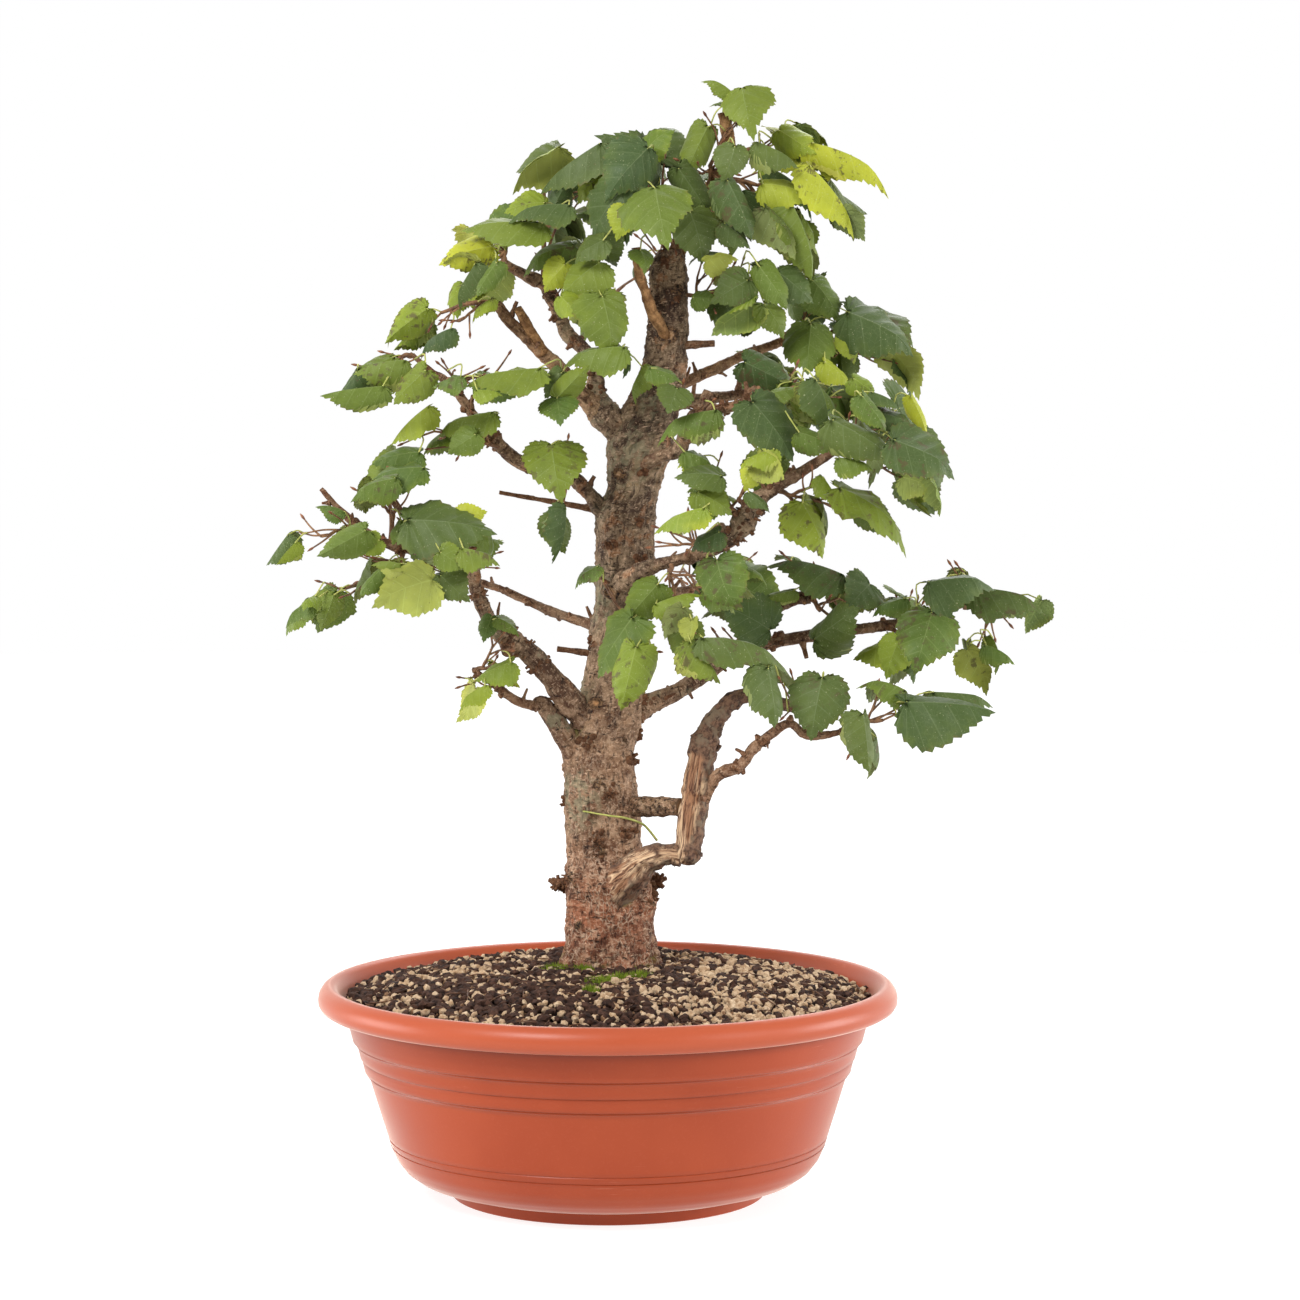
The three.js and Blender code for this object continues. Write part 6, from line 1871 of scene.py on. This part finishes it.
def bough_piece(number, name, look):
    """A bough with its stubs, burrs and spurs."""
    soup = Soup()
    path, radii = limbs[name]
    lichen = LICHEN_BOUGHS.get(name, PLAIN_LICHEN)
    sides = BOUGH_SIDES[int(radii[0] > THICK_BOUGH)]
    add_limb(soup, path, radii, sides, number, lichen=lichen, old=TAN_BOUGHS.get(name, 0))
    add_stubs(soup, name, old=1.0 if name == "bough_crown_left" else 0)
    add_bough_burrs(soup, name, BOUGH_BURR_SEED + 50 * number)
    add_spurs(soup, path, radii, SPUR_SEED + 7 * number, lichen)
    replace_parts(soup.build(f"{name}_bark", "bark", [look]), name)


def deadwood_piece(number, name, look):
    """A dead limb, partly stripped of its bark."""
    soup = Soup()
    dome = DEADWOOD_DOME if name == "deadwood_upright" else 0
    add_limb(soup, *limbs[name], DEADWOOD_SIDES, number, lichen=PLAIN_LICHEN, strip=stripped, dome=dome)
    add_bough_burrs(soup, name, BOUGH_BURR_SEED + 50 * number)
    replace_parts(soup.build(f"{name}_bark", "deadwood", [look]), name)


def limb_pieces():
    bark, dead = bark_look(), deadwood_look()
    trunk_piece(bark)
    for number, name in enumerate(BOUGHS):
        if name.startswith("deadwood"):
            deadwood_piece(number, name, dead)
        else:
            bough_piece(number, name, bark)


# ------------------------------------------------------------------ bowl and soil


def spun(soup, profile, sides, **values):
    """A profile of [radius, height] spun round the Z axis; it starts and ends on the axis."""
    profile = np.array(profile, float)
    angle = np.arange(sides) * TURN / sides
    rings = np.stack([profile[:, :1] * np.cos(angle), profile[:, :1] * np.sin(angle),
                      np.broadcast_to(profile[:, 1:], (len(profile), sides))], axis=-1)
    ends = np.array([[0, 0, profile[0, 1]], [0, 0, profile[-1, 1]]])
    points = np.vstack([rings.reshape(-1, 3), ends])
    filled = {key: np.concatenate([np.repeat(value, sides), [0, 0]]) for key, value in values.items()}
    soup.add(points, grid_faces(len(profile), sides), close_ends(len(profile), sides), **filled)


def fine_profile(profile, step):
    """A profile with more points along its long stretches."""
    fine = [profile[0]]
    for start, end in zip(profile, profile[1:]):
        count = max(1, round(math.dist(start, end) / step))
        fine += [[start[0] + (end[0] - start[0]) * k / count, start[1] + (end[1] - start[1]) * k / count]
                 for k in range(1, count + 1)]
    return fine


# The bowl's grooves: height, and how dark the painted shade in each is.
GROOVES = {36.1: 0.6, 41: 0.5, 85.6: 1, 95.4: 1, 107: 0.9}
GROOVE_WIDTH = 0.6
OUTSIDE_SHARE = 0.6  # of the fine profile's points, those that come first lie outside
BOWL_STEP = 3
BOWL_EDGE = 50  # degrees from which an edge of the bowl is sharp
DRILL_HEIGHTS = [-5, 10]
DRILL_SIDES = 24


def painted_shade_at(radius, height):
    """How much painted shade lies at a place of the bowl's outside: in its grooves and under its lip."""
    lines = [math.exp(-(((height - level) / GROOVE_WIDTH) ** 2)) * share for level, share in GROOVES.items()]
    # painted shade on the wall just under the lip
    under_lip = min(1.5, max(0, (height - 120) / 6) ** 2) * (radius < 182)
    return max(lines + [under_lip]) * (radius > 148)


def bowl_piece():
    """The bowl with its drain holes."""
    profile = fine_profile(BOWL_OUTSIDE + BOWL_INSIDE, BOWL_STEP)
    outside = OUTSIDE_SHARE * len(profile)
    # painted shade in the grooves and under the lip, on the outside only
    groove = [painted_shade_at(*place) * (number < outside) for number, place in enumerate(profile)]
    soup = Soup()
    spun(soup, profile, BOWL_SIDES, groove=np.array(groove))
    piece = soup.build("bowl_shell", "bowl", [bowl_look()])
    piece.data.set_sharp_from_angle(angle=math.radians(BOWL_EDGE))
    for number in range(DRAIN_HOLES):
        drill = Soup()
        spun(drill, [[DRAIN_RADIUS, height] for height in DRILL_HEIGHTS], DRILL_SIDES)
        place = round_z(DRAIN_CIRCLE, TURN * (number + 0.5) / DRAIN_HOLES)
        points = np.concatenate(drill.points) + [*place, 0]
        cutter = linked("drill", bpy.data.meshes.new("drill"))
        faces = np.concatenate(drill.quads).tolist() + np.concatenate(drill.tris).tolist()
        cutter.data.from_pydata((points * MM).tolist(), [], faces)
        hole = piece.modifiers.new("drain", "BOOLEAN")
        hole.operation, hole.object, hole.solver = "DIFFERENCE", cutter, "EXACT"
        bpy.context.view_layer.objects.active = piece
        bpy.ops.object.modifier_apply(modifier=hole.name)
        bpy.data.objects.remove(cutter)
    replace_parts(piece, "bowl")


def soil_height(place):
    """The height of the soil at a radius, or at a place [x, y]."""
    radius = np.linalg.norm(place) if np.ndim(place) else place
    radii, heights = np.array(SOIL_SURFACE[::-1]).T
    return float(np.interp(radius, radii, heights))


def soil_piece():
    """The bed of soil: the solid's own profile with a rough top."""
    inside = [[radius, height] for radius, height in BOWL_INSIDE[::-1] if height < SOIL_SURFACE[0][1]]
    wall = [[radius - 2 * GAP, max(height, FLOOR) + GAP] for radius, height in inside[:-1]]
    top = [[radius, soil_height(radius)] for radius in np.linspace(*SOIL_TOP, SOIL_RINGS)]
    soup = Soup()
    spun(soup, [[SOIL_TOP[1], FLOOR + GAP], *wall, SOIL_RIM, *top], SOIL_SIDES)
    points = soup.points[0]
    rough = 1.3 * noise(points, 9, 2) + 0.9 * noise(points, 3.5, 4)
    from_rim = np.clip((181 - np.linalg.norm(points[:, :2], axis=1)) / 4, 0, 1)
    points[:, 2] += np.where(points[:, 2] > SOIL_RIM[1] + 1.5, (rough - 0.9) * from_rim, 0)
    piece = soup.build("soil_bed", "soil", [soil_look("soil_earth", [36, 25, 22], [62, 44, 36])])
    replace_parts(piece, "soil")


def grain_shape():
    """The corners and the faces of a grain: a solid of 20 triangles."""
    golden = (1 + math.sqrt(5)) / 2
    corners = np.array([
        [-1, golden, 0], [1, golden, 0], [-1, -golden, 0], [1, -golden, 0], [0, -1, golden], [0, 1, golden],
        [0, -1, -golden], [0, 1, -golden], [golden, 0, -1], [golden, 0, 1], [-golden, 0, -1], [-golden, 0, 1],
    ], float)
    faces = np.array([
        [0, 11, 5], [0, 5, 1], [0, 1, 7], [0, 7, 10], [0, 10, 11], [1, 5, 9], [5, 11, 4], [11, 10, 2],
        [10, 7, 6], [7, 1, 8], [3, 9, 4], [3, 4, 2], [3, 2, 6], [3, 6, 8], [3, 8, 9], [4, 9, 5], [2, 4, 11],
        [6, 2, 10], [8, 6, 7], [9, 8, 1],
    ])
    return corners / np.linalg.norm(corners[0]), faces


def grain_kind(place, luck):
    """Pumice lies in patches and more to the right, and the rest is bark chips with some grit."""
    pale = 0.42 + 0.0009 * place[0] + 0.2 * float(noise(np.array([*place, 3.0]), 38, 6))
    return "pumice" if luck < pale else "grit" if luck > 0.84 else "chips"


def grain_pieces():
    """Pumice, bark chips and grit strewn evenly over the soil."""
    corners, faces = grain_shape()
    draw = np.random.default_rng(8)
    kinds = {kind: Soup() for kind in GRAIN_SIZES}
    for number in range(GRAINS):
        radius = GRAIN_CIRCLE * math.sqrt((number + 0.5) / GRAINS)
        angle = number * math.radians(GOLDEN_ANGLE) + draw.uniform(-0.01, 0.01)
        place = round_z(radius, angle) + draw.uniform(-1.5, 1.5, 2)
        kind = grain_kind(place, draw.uniform())
        size = draw.uniform(*GRAIN_SIZES[kind]) / 2
        flat = draw.uniform(*GRAIN_FLATNESS[kind])
        stretch = np.array([1, draw.uniform(0.5, 0.9), flat]) * size
        angles = draw.uniform(-0.7, 0.7), draw.uniform(-0.7, 0.7), draw.uniform(0, TURN)
        local = corners * (1 + draw.uniform(-0.16, 0.16, (12, 1))) * stretch
        level = soil_height(place) + size * flat * draw.uniform(0.0, 0.75) - 0.3
        kinds[kind].add(local @ np.array(Euler(angles).to_matrix()).T + [*place, level], tris=faces)
    looks = {
        "pumice": soil_look("pumice", [164, 132, 100], [208, 184, 154], 0.9),
        "chips": soil_look("bark_chips", [34, 23, 20], [84, 58, 46], 0.85),
        "grit": soil_look("grit", [92, 66, 48], [146, 112, 84], 0.9),
    }
    for kind, soup in kinds.items():
        soup.build(f"soil_{kind}", "soil", [looks[kind]], smooth=False)
    litter_piece(draw)


def litter_piece(draw):
    """Thin roots and bits of twig that lie on the grains."""
    litter = Soup()
    for _ in range(LITTER):
        place = round_z(LITTER_CIRCLE * math.sqrt(draw.uniform()), draw.uniform(0, TURN))
        way = draw.uniform(0, TURN)
        span = draw.uniform(*LITTER_LENGTHS)
        points = []
        for share in (-0.5, 0, 0.5):
            spot = place + round_z(span * share, way) + draw.uniform(-1.5, 1.5, 2)
            spot *= min(1, LITTER_CIRCLE / max(np.linalg.norm(spot), 1))
            points.append([*spot, soil_height(spot) + draw.uniform(1.5, 4)])
        tube(litter, points, LITTER_RADIUS, 5, 6)
    litter.build("soil_litter", "soil", [twig_look("litter", [58, 36, 26], [112, 76, 50])])


# Moss cushions by the trunk's foot: pixel place and radius across.
CUSHIONS = [
    [568, 966, 12], [552, 972, 9], [584, 972, 8], [630, 966, 9], [602, 984, 12], [640, 978, 9], [590, 992, 7],
    [618, 980, 7],
]
CUSHION_BLADES = 40  # for each millimetre of its radius
CUSHION_DEPTHS = [-90, 20]
CUSHION_SWELL = 1.6
BLADE_FOOT = np.array([[0.35, 0, 0], [-0.2, 0.3, 0], [-0.2, -0.3, 0]])
SIGHT_FALL = 8  # degrees by which a line of sight is taken to fall there


def on_soil(x, y):
    """The point on the soil that a pixel of the photograph shows, near enough."""
    point = behind_pixel(x, y, 0.0)
    for _ in range(3):
        depth = point[1] + (soil_height(point[:2]) - point[2]) * -1 / math.tan(math.radians(SIGHT_FALL))
        point = behind_pixel(x, y, float(np.clip(depth, *CUSHION_DEPTHS)))
    return point


def moss_piece():
    """Cushions of moss by the trunk's foot, made of many small upright blades."""
    soup = Soup()
    draw = np.random.default_rng(5)
    for x, y, size in CUSHIONS:
        centre = on_soil(x, y)
        for _ in range(int(size * CUSHION_BLADES)):
            away = size * math.sqrt(draw.uniform())
            foot = centre[:2] + round_z(away, draw.uniform(0, TURN))
            foot = np.array([*foot, soil_height(foot) + CUSHION_SWELL * (1 - (away / size) ** 2)])
            tip = foot + draw.uniform(-1, 1, 3) * 1.5 + UP * draw.uniform(1.6, 4.6)
            soup.add(np.vstack([foot + BLADE_FOOT, tip]), tris=[[0, 1, 3], [1, 2, 3], [2, 0, 3], [0, 2, 1]])
    soup.build("moss", "soil", [moss_look()], smooth=False)


# ------------------------------------------------------------------ stage, light and camera

FLOOR_RADIUS = 6000
DOME_RADIUS = 7000
FLOOR_LEVELS = [-0.2, -3]
FLOOR_HOLE = 5
ROOM = [0.35, 1.1]  # how bright the room is towards the front and towards the back
# Lamps: place, target and size in metres, and power in watts.
LAMPS = {
    "key": [(-1.1, -1.7, 1.95), (0, 0, 0.35), (1.0, 1.0), 60],
    "fill": [(1.9, -1.5, 1.0), (0, 0, 0.3), (1.0, 1.2), 18],
    "left": [(-2.2, 0.2, 0.4), (0, 0, 0.1), (1.0, 0.8), 26],
    "right": [(2.2, 0.2, 0.4), (0, 0, 0.1), (1.0, 0.8), 30],
    "back": [(0.4, 2.0, 2.0), (0, 0, 0.4), (1.6, 1.0), 30],
}


def stage():
    """A pale floor, and a white dome that only the camera sees."""
    rise = np.radians(np.linspace(-3, 89.5, 24))
    sky = [round_z(DOME_RADIUS, angle) for angle in rise]
    top, under = FLOOR_LEVELS
    disc = [[FLOOR_HOLE, top], [FLOOR_RADIUS, top], [FLOOR_RADIUS, under], [FLOOR_HOLE, under]]
    for name, profile, colour, glow in (
        ("studio_floor", disc, [160, 160, 160], 0.84), ("studio_dome", sky, [0, 0, 0], 1.0)
    ):
        soup = Soup()
        spun(soup, profile, 64)
        piece = soup.shown(name, [stage_look(name, colour, glow)], smooth=False)
    for rays in ("diffuse", "glossy", "transmission", "volume_scatter", "shadow"):
        setattr(piece, f"visible_{rays}", False)


def area_light(name, place, target, size, power):
    data = bpy.data.lights.new(name, "AREA")
    data.shape, data.size, data.size_y = "RECTANGLE", size[0], size[1]
    data.energy = power
    lamp = linked(name, data)
    lamp.location = place
    way = unit(np.array(place) - np.array(target))
    lamp.rotation_euler = (math.acos(way[2]), 0, math.atan2(way[1], way[0]) + math.pi / 2)


def lights():
    """A soft room that is brighter behind the plant, and the lamps."""
    world = bpy.data.worlds.new("studio")
    world.use_nodes = True
    nodes, links = world.node_tree.nodes, world.node_tree.links
    way = nodes.new("ShaderNodeTexCoord")
    split = nodes.new("ShaderNodeSeparateXYZ")
    strength = nodes.new("ShaderNodeMapRange")
    strength.inputs["From Min"].default_value = -1
    strength.inputs["To Min"].default_value = ROOM[0]
    strength.inputs["To Max"].default_value = ROOM[1]
    links.new(way.outputs["Generated"], split.inputs["Vector"])
    links.new(split.outputs["Y"], strength.inputs["Value"])
    links.new(strength.outputs["Result"], nodes["Background"].inputs["Strength"])
    nodes["Background"].inputs["Color"].default_value = (1, 1, 1, 1)
    bpy.context.scene.world = world
    for name, lamp in LAMPS.items():
        area_light(name, *lamp)


def camera():
    data = bpy.data.cameras.new("camera")
    data.sensor_width = SENSOR
    data.lens = SENSOR * FOCAL / IMAGE
    data.clip_start, data.clip_end = 0.1, 50
    eye = linked("camera", data)
    eye.location = EYE * MM
    eye.rotation_euler = (math.radians(90 - PITCH), 0, 0)
    bpy.context.scene.camera = eye


camera()
lights()
stage()
bowl_piece()
soil_piece()
grain_pieces()
moss_piece()
limb_pieces()
leaf_pieces()
stalks_and_twigs()
bpy.context.scene.view_settings.view_transform = "Standard"
